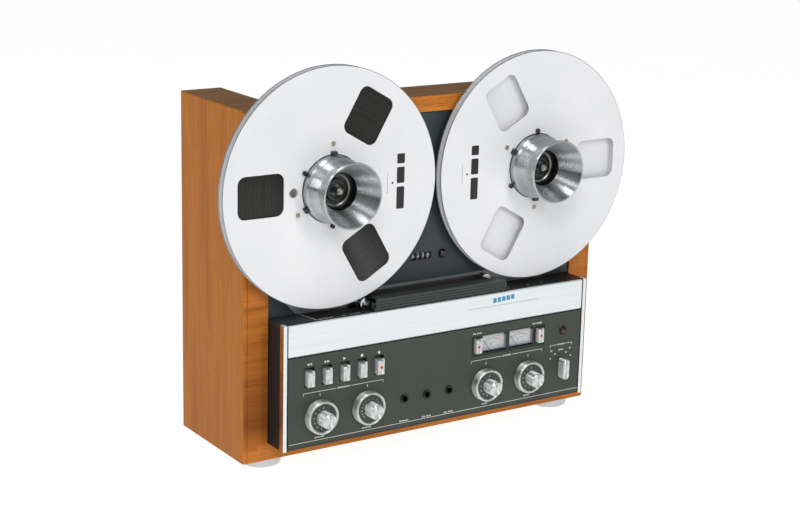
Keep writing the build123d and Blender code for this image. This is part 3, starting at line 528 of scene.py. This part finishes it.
dress("guide_roller", turned("roller_chrome", middle("guide_roller"), (214, 216, 220), 0.1, strength=0.03))
dress("head_cover", painted("cover_plastic", (46, 54, 52), 0.48, grain=1000.0, strength=0.12, variation=0.05))
for node in ("left_meter_needle", "right_meter_needle"):
    dress(node, painted(node + "_paint", (30, 28, 28), 0.4, strength=0.02))
for nodes, colour, roughness, stretch in (
        (KEY_NAMES + ["left_record_button", "right_record_button"], (232, 233, 232), 0.4, 1.0),
        (RING_NAMES, (228, 228, 224), 0.46, 0.9), (KNOB_NAMES, (232, 234, 233), 0.4, 1.0)):
    for node in nodes:
        dress(node, turned(node + "_metal", middle(node), colour, roughness, strength=0.1, stretch=stretch))
dress("speed_selector_knob", turned("selector_metal", middle("speed_selector_knob"), (232, 234, 233), 0.4,
                                    strength=0.1, stretch=1.0))
for side, axis in (("left", LEFT_AXIS), ("right", RIGHT_AXIS)):
    paint = reel_paint(side + "_reel_paint", axis)
    dress(side + "_reel_front_flange", paint)
    dress(side + "_reel_back_flange", paint)
    dress(side + "_reel_hub", turned(side + "_hub_metal", axis, (206, 206, 208), 0.35))
    dress(side + "_hub_adapter", turned(side + "_adapter_metal", axis, (196, 199, 200), 0.28, pitch=2200.0,
                                        strength=0.03, stretch=1.0))
    dress(side + "_turntable", turned(side + "_turntable_metal", axis, (170, 172, 174), 0.3))
dress("tape_pack", tape_edges("tape_edges", LEFT_AXIS))

# ---------------------------------------------------------------- reels and hub adapters
ON_REEL = printed_on(REEL_FRONT)
SCREW_CIRCLE = 49.5 * MM
EYELET_CIRCLE = 48.6 * MM
PIN_CIRCLE = 40.9 * MM
CUP_FLOOR_Y = REEL_FRONT - 4.0 * MM
CUP_DEPTH = (CUP_FLOOR_Y - CASE_LOW.y) / MM + 32.0      # in mm, from the floor of the cup to its mouth
BRASS = brushed("brass_screw", (182, 174, 148), 0.35, strength=0.08)


def reel_mark(side, axis, inward):
    """Plain printed bars between two windows, on the side of the reel that faces the deck's middle."""
    mesh = bmesh.new()
    column = axis.x + inward * 87.0 * MM
    for low, high in ((-31, -6), (-2, 16), (20, 31)):
        outline = rounded(column - 5 * MM, column + 5 * MM, axis.z + low * MM, axis.z + high * MM, 1.4 * MM)
        prism(mesh, outline, *ON_REEL)
    disc(mesh, column - 10.5 * MM, axis.z - 1 * MM, 1.2 * MM, *ON_REEL)
    piece(side + "_reel_mark", mesh, BLACK_INK, side + "_reel")
    mesh = bmesh.new()
    left, right = column - 17.45 * MM, column - 16.55 * MM
    for step in range(9):
        base = axis.z + (-12 + 2.6 * step) * MM
        bar(mesh, left, right, base, base + 1.7 * MM, *ON_REEL)
    piece(side + "_reel_fine_print", mesh, GREY_INK, side + "_reel")


def reel_hardware(side, axis, first_window):
    """Hub screws and the eyelet beside the hub."""
    body = side + "_reel"
    mesh = bmesh.new()
    for turn in range(3):
        x, z = polar(axis, SCREW_CIRCLE, first_window + 30 + 120 * turn)
        slotted_screw(mesh, x, z, 2.7, REEL_FRONT + 0.3 * MM, 1.1, 25 + 50 * turn)
    piece(body + "_screws", mesh, BRASS, body, smooth=True)
    x, z = polar(axis, EYELET_CIRCLE, first_window)
    ring = [(3.6, 0.3), (5.4, 0.3), (5.4, -0.1), (4.9, -0.45), (4.2, -0.45), (3.6, 0)]
    turned_piece(body + "_eyelet", (x, 0, z), REEL_FRONT, ring, STEEL, body, 40)
    dish = [(0, 0.3), (3.7, 0.3), (3.7, -0.4), (2.2, -0.15), (0, -0.1)]
    turned_piece(body + "_dimple", (x, 0, z), REEL_FRONT, dish, WELL_METAL, body, 40)


def adapter_details(side, axis, first_slot):
    """Dark locking lugs round the adapter's base, its thin gasket, the black well (its black centre disc
    standing in for shade on the floor) and the spindle's screw.
    """
    body = side + "_reel"
    mesh = bmesh.new()
    for turn in range(3):
        angle = math.radians(first_slot + 120 * turn)
        out_x, out_z = math.cos(angle) * MM, math.sin(angle) * MM

        def corners(end, half, height):
            """Four corners of the lug at one height above the reel, in mm."""
            return [(axis.x + out_x * reach - out_z * wide, REEL_FRONT - height * MM,
                     axis.z + out_z * reach + out_x * wide)
                    for reach, wide in ((36.8, -half), (end, -half), (end, half), (36.8, half))]

        solid_between(mesh, corners(41.5, 3.3, 0.05), corners(41.1, 3.0, 5.0))
    bmesh.ops.recalc_face_normals(mesh, faces=mesh.faces)
    bmesh.ops.bevel(mesh, geom=mesh.edges, offset=0.35 * MM, segments=2, affect="EDGES")
    piece(side + "_adapter_keys", mesh, GUNMETAL, body, smooth=True)
    mesh = bmesh.new()
    for turn in range(3):
        x, z = polar(axis, PIN_CIRCLE, first_slot + 60 + 120 * turn)
        pin = [(0, -0.05), (2.7, -0.05), (2.7, -2.6), (2.0, -3.3), (0, -3.4)]
        lathe(mesh, (x, 0, z), REEL_FRONT, pin, segments=24)
    piece(side + "_adapter_pins", mesh, BLACK_GLOSS, body, smooth=True)
    gasket = [(36.9, 0.9), (38.05, 0.9), (38.05, 0), (37.6, -0.25), (36.9, -0.25)]
    turned_piece(side + "_adapter_gasket", axis, REEL_FRONT, gasket, BLACK_MATT, body, 96)
    mesh = bmesh.new()
    wall = [(20.9, -0.1), (20.9, 0.1 - CUP_DEPTH), (20.1, -0.2 - CUP_DEPTH), (19.7, 0.4 - CUP_DEPTH),
            (19.7, -0.1)]
    lathe(mesh, axis, CUP_FLOOR_Y, wall, segments=72)
    # black centre disc round the spindle: a dark hub that stands in for the shade on the well's floor,
    # leaving only the ring outside it bright
    centre = [(5.2, -0.1), (16.2, -0.1), (16.2, -0.6), (12.8, -0.6), (12.8, -2.8), (12.0, -3.6), (8.4, -3.8),
              (7.6, -2.2), (5.2, -2.2)]
    lathe(mesh, axis, CUP_FLOOR_Y, centre, segments=72)
    piece(side + "_adapter_well", mesh, BLACK_GLOSS, body, smooth=True)
    step = [(16.4, -0.1), (19.5, -0.1), (19.5, -1.6), (18.0, -1.9), (16.4, -1.1)]
    turned_piece(side + "_adapter_step", axis, CUP_FLOOR_Y, step, WELL_METAL, body, 72)
    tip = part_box(side + "_turntable")[0].y
    mesh = bmesh.new()
    slotted_screw(mesh, axis.x, axis.z, 2.4, tip + 0.1 * MM, 1.2, 55)
    piece(side + "_spindle_screw", mesh, BRASS, body, smooth=True)


for side, axis, first_window, inward in (("left", LEFT_AXIS, 180.0, 1), ("right", RIGHT_AXIS, 0.0, -1)):
    reel_mark(side, axis, inward)
    reel_hardware(side, axis, first_window)
    adapter_details(side, axis, first_window + 30.0)

# ---------------------------------------------------------------- knobs
DIAL_Y = PANEL_Y - 7.9 * MM
KNOB_FRONT_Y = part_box("volume_knob")[0].y
RING_FRONT_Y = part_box("monitor_ring")[0].y


def add_figure(mesh, figure, height, place):
    """Adds a flat number; place turns its own (across, up, out) coordinates into a point of the scene."""
    curve = bpy.data.curves.new("figure", "FONT")
    curve.body = str(figure)
    curve.align_x = "CENTER"
    curve.size = height / 0.72
    curve.extrude = INK / 2
    curve.resolution_u = 4
    holder = bpy.data.objects.new("figure", curve)
    flat = bpy.data.meshes.new_from_object(holder)
    bpy.data.objects.remove(holder)
    first = len(mesh.verts)
    mesh.from_mesh(flat)
    mesh.verts.ensure_lookup_table()
    for vert in mesh.verts[first:]:
        vert.co = place(*vert.co)
    bpy.data.meshes.remove(flat)


def fluted_grip(name, axis, body):
    """Sleeve of fine flutes round a knob, tapering towards its front, with a smooth bore."""
    mesh = bmesh.new()
    flutes = 48
    steps = flutes * 4
    back = DIAL_Y - 0.3 * MM
    rim = KNOB_FRONT_Y + 0.8 * MM
    levels = [(8.70, 0.12, back), (8.64, 0.12, DIAL_Y - 2.0 * MM), (8.44, 0.12, rim + 0.7 * MM),
              (8.0, 0.12, rim), (7.4, 0.0, rim), (7.4, 0.0, back)]
    loops = []
    for radius, flute_depth, y in levels:
        loop = []
        for step in range(steps):
            reach = (radius + flute_depth * math.cos(flutes * TURN * step / steps)) * MM
            x, z = polar(axis, reach, 360 * step / steps)
            loop.append(mesh.verts.new((x, y, z)))
        loops.append(loop)
    for index in range(len(loops)):
        first = loops[index]
        second = loops[(index + 1) % len(loops)]
        for step in range(steps):
            following = (step + 1) % steps
            mesh.faces.new([first[step], first[following], second[following], second[step]])
    piece(name + "_grip", mesh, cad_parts[body].data.materials[0], body, smooth=True)


def dial(name, axis, body):
    """Dark dial plate with a scale of small white figures, or of ticks on both sides for balance."""
    plate = [(8.5, 0.1), (15.75, 0.1), (15.75, -0.1), (15.6, -0.2), (8.5, -0.2)]
    turned_piece(name + "_dial", axis, DIAL_Y, plate, DIAL_PAINT, body, 72)
    mesh = bmesh.new()
    ink_front = DIAL_Y - 0.2 * MM - INK
    if body == "balance_knob":
        for turn in range(7):
            for way in (1, -1):
                angle = math.radians(90 + way * (18 + 19 * turn))
                out_x, out_z = math.cos(angle) * MM, math.sin(angle) * MM
                half = 0.3 + 0.13 * turn
                corners = ((11.6 + half, 0.3), (11.6 - half, 0.3), (11.6 - half, -0.3), (11.6 + half, -0.3))
                prism(mesh, [(axis.x + out_x * reach - out_z * wide, axis.z + out_z * reach + out_x * wide)
                             for reach, wide in corners], ink_front, DIAL_Y - 0.1 * MM)
    else:
        for figure in range(11):
            angle = math.radians(90 + 28 * figure)
            out_x, out_z = math.cos(angle), math.sin(angle)

            def place(across, up, out):
                """Upright when this part of the dial is at the top."""
                radius = 10.9 * MM + up
                return (axis.x + out_x * radius + out_z * across, ink_front + INK / 2 - out,
                        axis.z + out_z * radius - out_x * across)

            add_figure(mesh, figure, 2.1 * MM, place)
    piece(name + "_dial_figures", mesh, WHITE_INK, body)


def ring_marks(name, axis, angles):
    """Short dark dashes on the front of a knob's outer ring."""
    mesh = bmesh.new()
    for degrees in angles:
        radial_mark(mesh, axis, degrees, 17.1, 18.3, 0.018, RING_FRONT_Y - INK, RING_FRONT_Y + INK)
    piece(name + "_marks", mesh, BLACK_INK, name)


DIAL_PAINT = painted("dial_paint", (54, 62, 58), 0.5, strength=0.06)
MARK_ANGLES = {"monitor_ring": (90, 128), "mode_ring": (90, 60, 120), "left_input_ring": (75, 50, 25, 0),
               "right_input_ring": (75, 50, 25, 0)}
for knob, ring in zip(KNOB_NAMES, RING_NAMES):
    centre = middle(knob)
    fluted_grip(knob, centre, knob)
    dial(knob, centre, knob)
    ring_marks(ring, middle(ring), MARK_ANGLES[ring])
    mesh = bmesh.new()
    bar(mesh, centre.x - 0.35 * MM, centre.x + 0.35 * MM, centre.z + 2.0 * MM, centre.z + 7.2 * MM,
        KNOB_FRONT_Y - INK, KNOB_FRONT_Y + 0.4 * MM)
    piece(knob + "_pointer", mesh, GREY_INK, knob)

selector = middle("speed_selector_knob")
selector_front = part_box("speed_selector_knob")[0].y
mesh = bmesh.new()
bar(mesh, selector.x - 0.4 * MM, selector.x + 0.4 * MM, selector.z + 4.0 * MM, selector.z + 11.5 * MM,
    selector_front - INK, selector_front + INK)
piece("speed_selector_line", mesh, GREY_INK, "speed_selector_knob")

# ---------------------------------------------------------------- printing on the panel
jack_low, jack_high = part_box("jack_sockets")
JACK_Z = (jack_low.z + jack_high.z) / 2
JACKS = [jack_low.x + 6.5 * MM, (jack_low.x + jack_high.x) / 2, jack_high.x - 6.5 * MM]
ON_PANEL = printed_on(PANEL_Y)
LINE = 0.28 * MM


def rule(mesh, x0, x1, z):
    """Thin level line on the panel."""
    bar(mesh, x0, x1, z - LINE, z + LINE, *ON_PANEL)


def label(mesh, x, z, words):
    """Rows of small bars where a caption is printed; words holds the number of bars in each group."""
    pitch = 1.55 * MM
    place = x - (sum(words) + len(words) - 1) * pitch / 2
    for word in words:
        for stroke in range(word):
            tall = (0.95 if stroke % 3 == 0 else 0.7) * MM
            bar(mesh, place + 0.2 * MM, place + 1.25 * MM, z - tall, z + tall, *ON_PANEL)
            place += pitch
        place += pitch


def bracket(mesh, x0, x1, z, strokes):
    """Line with a short leg at each end and a caption in a gap at its middle."""
    centre = (x0 + x1) / 2
    gap = strokes * 0.775 * MM + 1.2 * MM
    rule(mesh, x0, centre - gap, z)
    rule(mesh, centre + gap, x1, z)
    for x in (x0, x1):
        bar(mesh, x - LINE, x + LINE, z - 3.0 * MM, z + LINE, *ON_PANEL)
    label(mesh, centre, z, (strokes,))


def arrow(mesh, x, z, direction, size=1.5 * MM):
    """Small triangle that points left or right."""
    tail = x - direction * size
    prism(mesh, [(tail, z - size), (x + direction * size, z), (tail, z + size)], *ON_PANEL)


def key_symbols(mesh):
    """Plain transport symbols above the keys: two arrows, two arrows, one arrow, a square, a dot."""
    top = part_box("rewind_key")[1].z + 6.9 * MM
    places = [middle(key).x for key in KEY_NAMES]
    for offset in (-1.7, 1.7):
        arrow(mesh, places[0] + offset * MM, top, -1)
        arrow(mesh, places[1] + offset * MM, top, 1)
    arrow(mesh, places[2], top, 1, size=1.8 * MM)
    bar(mesh, places[3] - 1.5 * MM, places[3] + 1.5 * MM, top - 1.5 * MM, top + 1.5 * MM, *ON_PANEL)
    disc(mesh, places[4], top, 1.6 * MM, *ON_PANEL)


def knob_captions(mesh):
    """Tick above each double knob and a caption below it."""
    for knob, strokes in zip(KNOB_NAMES, (8, 8, 5, 6)):
        centre = middle(knob)
        bar(mesh, centre.x - 0.4 * MM, centre.x + 0.4 * MM, centre.z + 23.2 * MM, centre.z + 26.2 * MM,
            *ON_PANEL)
        label(mesh, centre.x, centre.z - 24.2 * MM, (strokes,))


def selector_scale(mesh):
    """Three captions in a row above the speed selector, and four dots fanned round its top."""
    x = selector.x - 1.6 * MM
    for offset, strokes in ((-14, 2), (0, 4), (14, 2)):
        label(mesh, x + offset * MM, selector.z + 22.3 * MM, (strokes,))
    for offset, up in ((-15.2, 13.0), (-8.4, 17.9), (8.4, 17.9), (15.2, 13.0)):
        disc(mesh, x + offset * MM, selector.z + up * MM, 0.95 * MM, *ON_PANEL)


window_low, window_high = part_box("meter_housing")
WINDOW_LEFT = window_low.x + 2 * MM
WINDOW_RIGHT = window_high.x - 2 * MM
mesh = bmesh.new()
knob_z = middle("volume_knob").z
rule(mesh, panel_low.x + 1.5 * MM, panel_high.x - 0.5 * MM, knob_z - 27.5 * MM)
bracket(mesh, middle("rewind_key").x - 7.2 * MM, middle("record_key").x + 5.9 * MM, knob_z + 28.6 * MM, 10)
bracket(mesh, WINDOW_LEFT + 0.2 * MM, WINDOW_RIGHT - 3.2 * MM, knob_z + 30.2 * MM, 8)
bracket(mesh, selector.x - 17.8 * MM, selector.x + 14.6 * MM, selector.z + 29.2 * MM, 7)
key_symbols(mesh)
knob_captions(mesh)
selector_scale(mesh)
for x, words in zip(JACKS, ((8,), (3, 4), (3, 4))):
    label(mesh, x, knob_z - 25.3 * MM, words)
label(mesh, middle("left_record_button").x - 1.2 * MM, knob_z + 62.8 * MM, (3, 4))
label(mesh, middle("right_record_button").x - 4.0 * MM, knob_z + 62.8 * MM, (3, 5))
piece("panel_printing", mesh, WHITE_INK, "deck")

# ---------------------------------------------------------------- keys, lamp and jacks
def red_dot(key, across, up):
    """Red dot set into the front of a key."""
    low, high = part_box(key)
    centre = ((low.x + high.x) / 2 + across * MM, 0, (low.z + high.z) / 2 + up * MM)
    dot = [(0, 0.1), (1.9, 0.1), (1.8, -0.1), (0, -0.25)]
    turned_piece(key + "_dot", centre, low.y, dot, RED_PAINT, key, 28)


red_dot("record_key", 0.4, -0.4)
red_dot("left_record_button", -0.4, -0.6)
red_dot("right_record_button", 0.0, -0.5)

bezel = [(4.25, 0.1), (5.9, 0.1), (5.9, -0.6), (5.3, -1.0), (4.5, -1.0), (4.25, -0.7)]
turned_piece("lamp_bezel", middle("lamp_lens"), PANEL_Y, bezel, BLACK_GLOSS, "deck", 48)

mesh = bmesh.new()
for x in JACKS:
    nut = [(3.9, 0.1), (5.2, 0.1), (5.0, -0.5), (4.4, -0.8), (3.9, -0.5)]
    lathe(mesh, (x, 0, JACK_Z), jack_low.y, nut, segments=12)
piece("jack_nuts", mesh, BLACK_GLOSS, "deck")

# ---------------------------------------------------------------- level meters
CARD = painted("meter_card", (206, 208, 207), 0.6, grain=600.0, strength=0.04, variation=0.05)
CARD_BAND = painted("meter_band", (172, 181, 190), 0.5, strength=0.03, variation=0.06)
METER_GLASS = glassy("meter_glass", (235, 240, 242), 0.10)
METER_HALF = 17.0 * MM
WINDOW_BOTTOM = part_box("left_record_button")[0].z
WINDOW_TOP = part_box("left_record_button")[1].z


def meter(name, centre, needle_box):
    """Scale card behind the needle: arc, ticks, red zone, peak dot and the window in front."""
    card_y = needle_box[1].y + 0.35 * MM
    pivot = (centre, 0, needle_box[0].z + 2.6 * MM)
    ink = (card_y - INK, card_y + 0.05 * MM)
    x0, x1 = centre - METER_HALF, centre + METER_HALF
    mesh = bmesh.new()
    bar(mesh, x0, x1, WINDOW_BOTTOM, WINDOW_TOP, card_y, card_y + 0.2 * MM)
    piece(name + "_card", mesh, CARD, "deck")
    mesh = bmesh.new()
    bar(mesh, x0, x1, WINDOW_BOTTOM, WINDOW_BOTTOM + 3.4 * MM, *ink)
    piece(name + "_band", mesh, CARD_BAND, "deck")

    def arc(mesh, radius, half, start, sweep):
        """Printed arc round the needle's pivot; radius and half its width in mm."""
        low, high = radius - half, radius + half
        thickness = INK / MM
        lathe(mesh, pivot, card_y, [(low, 0.05), (high, 0.05), (high, -thickness), (low, -thickness)], 20,
              math.radians(start), math.radians(sweep))

    black = bmesh.new()
    arc(black, 17.2, 0.175, 76, 52)
    for step in range(9):
        long_tick = 2.4 if step % 2 == 0 else 1.5
        radial_mark(black, pivot, 128 - 6.5 * step, 17.2, 17.2 + long_tick, 0.011, *ink)
    for step in range(5):
        x = centre + (-6.5 + 2.8 * step) * MM
        bar(black, x, x + 1.4 * MM, pivot[2] + 12.6 * MM, pivot[2] + 13.1 * MM, *ink)
    piece(name + "_scale", black, BLACK_INK, "deck")
    red = bmesh.new()
    arc(red, 17.3, 0.25, 52, 24)
    for step in range(3):
        radial_mark(red, pivot, 70 - 8 * step, 17.4, 19.8, 0.013, *ink)
    disc(red, centre - 2.0 * MM, WINDOW_BOTTOM + 5.8 * MM, 1.0 * MM, card_y - 3 * INK, ink[1])
    piece(name + "_red_zone", red, RED_PAINT, "deck")
    pane = bmesh.new()
    outline = rounded(x0 + 0.3 * MM, x1 - 0.3 * MM, WINDOW_BOTTOM + 0.2 * MM, WINDOW_TOP - 0.2 * MM, 0.6 * MM)
    prism(pane, outline, window_low.y + 0.3 * MM, window_low.y + 0.9 * MM)
    piece(name + "_window", pane, METER_GLASS, "deck")


for side, centre in (("left", WINDOW_LEFT + 33.2 * MM), ("right", WINDOW_RIGHT - 33.6 * MM)):
    meter(side + "_meter", centre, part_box(side + "_meter_needle"))

# ---------------------------------------------------------------- tape counter
DRUM = middle("counter_units_drum")
DRUM_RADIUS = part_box("counter_units_drum")[1].z - DRUM.z
DRUM_PITCH = 6.8 * MM
DIGIT_HEIGHT = 4.6 * MM


def drum_figures(name, x, shown, body):
    """Ten figures wrapped round a counter drum, with the shown one facing the front."""
    mesh = bmesh.new()
    for figure in range(10):

        def place(across, up, out):
            """Wrapped round the drum, on the tenth of a turn that is this figure's own."""
            angle = (up - DIGIT_HEIGHT / 2) / DRUM_RADIUS + TURN * (shown - figure) / 10
            radius = DRUM_RADIUS + out + 0.04 * MM
            return (x + across, DRUM.y - radius * math.cos(angle), DRUM.z + radius * math.sin(angle))

        add_figure(mesh, figure, DIGIT_HEIGHT, place)
    piece(name, mesh, WHITE_INK, body)


for place, shown in ((3, 0), (2, 4), (1, 3)):
    drum_figures("counter_figures_" + str(place), DRUM.x - place * DRUM_PITCH, shown, "deck")
drum_figures("counter_unit_figures", DRUM.x, 8, "counter_units_drum")

# ---------------------------------------------------------------- strip and ledge
ON_STRIP = printed_on(TRIM_Y + 0.6 * MM)
BADGE_X = 70.0 * MM
DOTS_X = 36.0 * MM
mesh = bmesh.new()
for step in range(5):
    x = BADGE_X + 6.3 * step * MM
    z = LEDGE_Z + 0.35 * step * MM
    bar(mesh, x, x + 4.8 * MM, z - 10.6 * MM, z - 5.2 * MM, *ON_STRIP)
piece("strip_badge", mesh, BLUE_INK, "deck")
mesh = bmesh.new()
for step in range(27):
    x = DOTS_X + 3.75 * step * MM
    disc(mesh, x, LEDGE_Z - 14.2 * MM, 0.75 * MM, *ON_STRIP, segments=12)
piece("strip_dots", mesh, GREY_INK, "deck")


def ledge_plate(mesh, outline, thickness):
    """Thin sheet that lies on the ledge, given as (x, y) points."""
    top = LEDGE_Z + thickness
    solid_between(mesh, [(x, y, LEDGE_Z) for x, y in outline], [(x, y, top) for x, y in outline])


LEDGE_FRONT = TRIM_Y + 9.4 * MM
LEDGE_BACK = deck_low.y - 0.1 * MM
LEDGE_LEFT = deck_low.x + 0.6 * MM
CORNER_X = -161 * MM         # right end of the corner sheet, at its front
SLANT = 6 * MM               # how far to the left that end runs towards the back
mesh = bmesh.new()
ledge_plate(mesh, [(LEDGE_LEFT, LEDGE_FRONT), (CORNER_X, LEDGE_FRONT), (CORNER_X - SLANT, LEDGE_BACK),
                   (LEDGE_LEFT, LEDGE_BACK)], 0.3 * MM)
piece("ledge_corner", mesh, SLATE, "deck")
mesh = bmesh.new()
near, far = CORNER_X + 0.2 * MM, CORNER_X + 1.0 * MM
ledge_plate(mesh, [(near, LEDGE_FRONT), (far, LEDGE_FRONT), (far - SLANT, LEDGE_BACK),
                   (near - SLANT, LEDGE_BACK)], 0.36 * MM)
row_front, row_back = LEDGE_FRONT + 1.0 * MM, LEDGE_FRONT + 1.9 * MM
for left, right in ((-157, -152), (-150.5, -145), (-143.5, -139), (-128, -123), (-118, -113), (-111.5, -104)):
    x0, x1 = left * MM, right * MM
    ledge_plate(mesh, [(x0, row_front), (x1, row_front), (x1, row_back), (x0, row_back)], INK)
piece("ledge_printing", mesh, WHITE_INK, "deck")

mesh = bmesh.new()
lever = [(-2.0, -1.2), (2.0, -1.2), (1.6, 1.4), (0.9, 2.0), (-0.9, 2.0), (-1.6, 1.4)]
for x in (128 * MM, 149 * MM):
    prism(mesh, [(x + across * MM, LEDGE_Z + up * MM) for across, up in lever],
          CASE_LOW.y - 22.4 * MM, CASE_LOW.y - 20.6 * MM)
piece("slide_switch_levers", mesh, STEEL, "deck")

# ---------------------------------------------------------------- back of the case
socket_low, socket_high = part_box("rear_sockets")
SOCKET_SHELL = 6.5 * MM
PHONO_ROWS = (socket_low.z + SOCKET_SHELL, socket_high.z - SOCKET_SHELL)
PHONO_PITCH = 24.0 * MM
TRAY_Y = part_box("connector_panel")[0].y
SLEEVE = brushed("socket_sleeve", (206, 196, 160), 0.25, along="y", strength=0.05)
sleeves = bmesh.new()
inserts = {"white": bmesh.new(), "red": bmesh.new()}
for column in range(5):
    for row_z, tint in zip(PHONO_ROWS, ("red", "white")):
        x = socket_low.x + SOCKET_SHELL + column * PHONO_PITCH
        shell = [(4.12, 3.1), (4.4, 3.1), (4.4, 11.6), (4.2, 12.2), (3.4, 12.2), (3.4, 11.9), (4.12, 11.9)]
        lathe(sleeves, (x, 0, row_z), TRAY_Y, shell, segments=32)
        washer = [(4.5, 2.9), (6.3, 2.9), (6.3, 3.3), (4.5, 3.3)]
        lathe(inserts[tint], (x, 0, row_z), TRAY_Y, washer, segments=32)
piece("phono_sleeves", sleeves, SLEEVE, "deck", smooth=True)
piece("phono_washers_white", inserts["white"], WHITE_INK, "deck", smooth=True)
piece("phono_washers_red", inserts["red"], RED_PAINT, "deck", smooth=True)

# ---------------------------------------------------------------- floor, light and camera
TARGET = (0, 0, 0.22)
WORLD_STRENGTH = 0.22


def softbox(name, place, width, height, power):
    """Rectangular area light aimed at the middle of the deck."""
    data = bpy.data.lights.new(name, "AREA")
    data.shape = "RECTANGLE"
    data.size = width
    data.size_y = height
    data.energy = power
    light = bpy.data.objects.new(name, data)
    bpy.context.scene.collection.objects.link(light)
    light.location = place
    light.rotation_euler = (Vector(TARGET) - Vector(place)).to_track_quat("-Z", "Y").to_euler()


def floor():
    """Wide pale sheet under the deck, lit by itself so that it stays even."""
    mesh = bmesh.new()
    bmesh.ops.create_grid(mesh, x_segments=1, y_segments=1, size=15.0)
    data = bpy.data.meshes.new("floor")
    mesh.to_mesh(data)
    mesh.free()
    shader = Shader("floor_paper")
    cloud = shader.noise(shader.coords(), scale=3.0)
    tone = shader.ramp(cloud, [(0.3, (0.20, 0.20, 0.20, 1)), (0.7, (0.22, 0.22, 0.22, 1))])
    paper = shader.finish(tone, roughness=0.9, Emission_Color=(1, 1, 1, 1), Emission_Strength=0.93)
    data.materials.append(paper)
    made = bpy.data.objects.new("floor", data)
    bpy.context.scene.collection.objects.link(made)


def sky():
    """Dim surrounding light, grey at the horizon and paler overhead."""
    world = bpy.data.worlds.new("studio")
    bpy.context.scene.world = world
    world.use_nodes = True
    tree = world.node_tree
    direction = tree.nodes.new("ShaderNodeTexCoord").outputs["Generated"]
    split = tree.nodes.new("ShaderNodeSeparateXYZ")
    tree.links.new(direction, split.inputs[0])
    ramp = tree.nodes.new("ShaderNodeValToRGB")
    tree.links.new(split.outputs["Z"], ramp.inputs[0])
    horizon, overhead = ramp.color_ramp.elements
    horizon.color = (0.45, 0.46, 0.48, 1)
    overhead.position = 0.75
    overhead.color = (0.95, 0.96, 1.0, 1)
    tree.links.new(ramp.outputs[0], tree.nodes["Background"].inputs[0])
    tree.nodes["Background"].inputs[1].default_value = WORLD_STRENGTH


floor()
sky()
softbox("key", (-1.6, -2.2, 2.2), 0.9, 0.9, 28)
softbox("front", (0.5, -2.8, 1.5), 0.3, 1.2, 20)
softbox("side", (-3.0, 0.2, 1.4), 0.5, 1.4, 19)
softbox("top", (-0.5, -0.6, 2.6), 0.8, 0.8, 17)

CAMERA_PLACE = Vector((-1.1012, -1.6459, 0.7240))
CAMERA_AZIMUTH = math.radians(33.583)
CAMERA_PITCH = math.radians(14.703)
CAMERA_ROLL = math.radians(1.417)
CAMERA_LENS = 79.59


def camera():
    """Camera that looks to the right and back, down by its pitch, and turned a little about its own axis."""
    data = bpy.data.cameras.new("camera")
    data.lens = CAMERA_LENS
    data.sensor_width = 36.0
    data.sensor_fit = "HORIZONTAL"
    made = bpy.data.objects.new("camera", data)
    bpy.context.scene.collection.objects.link(made)
    level = math.cos(CAMERA_PITCH)
    east, north = math.sin(CAMERA_AZIMUTH), math.cos(CAMERA_AZIMUTH)
    ahead = Vector((east * level, north * level, -math.sin(CAMERA_PITCH)))
    right = Vector((north, -east, 0))
    up = right.cross(ahead)
    turn = Matrix((right, up, -ahead)).transposed() @ Matrix.Rotation(CAMERA_ROLL, 3, "Z")
    made.matrix_world = Matrix.Translation(CAMERA_PLACE) @ turn.to_4x4()
    bpy.context.scene.camera = made


camera()
bpy.context.scene.view_settings.view_transform = "Standard"
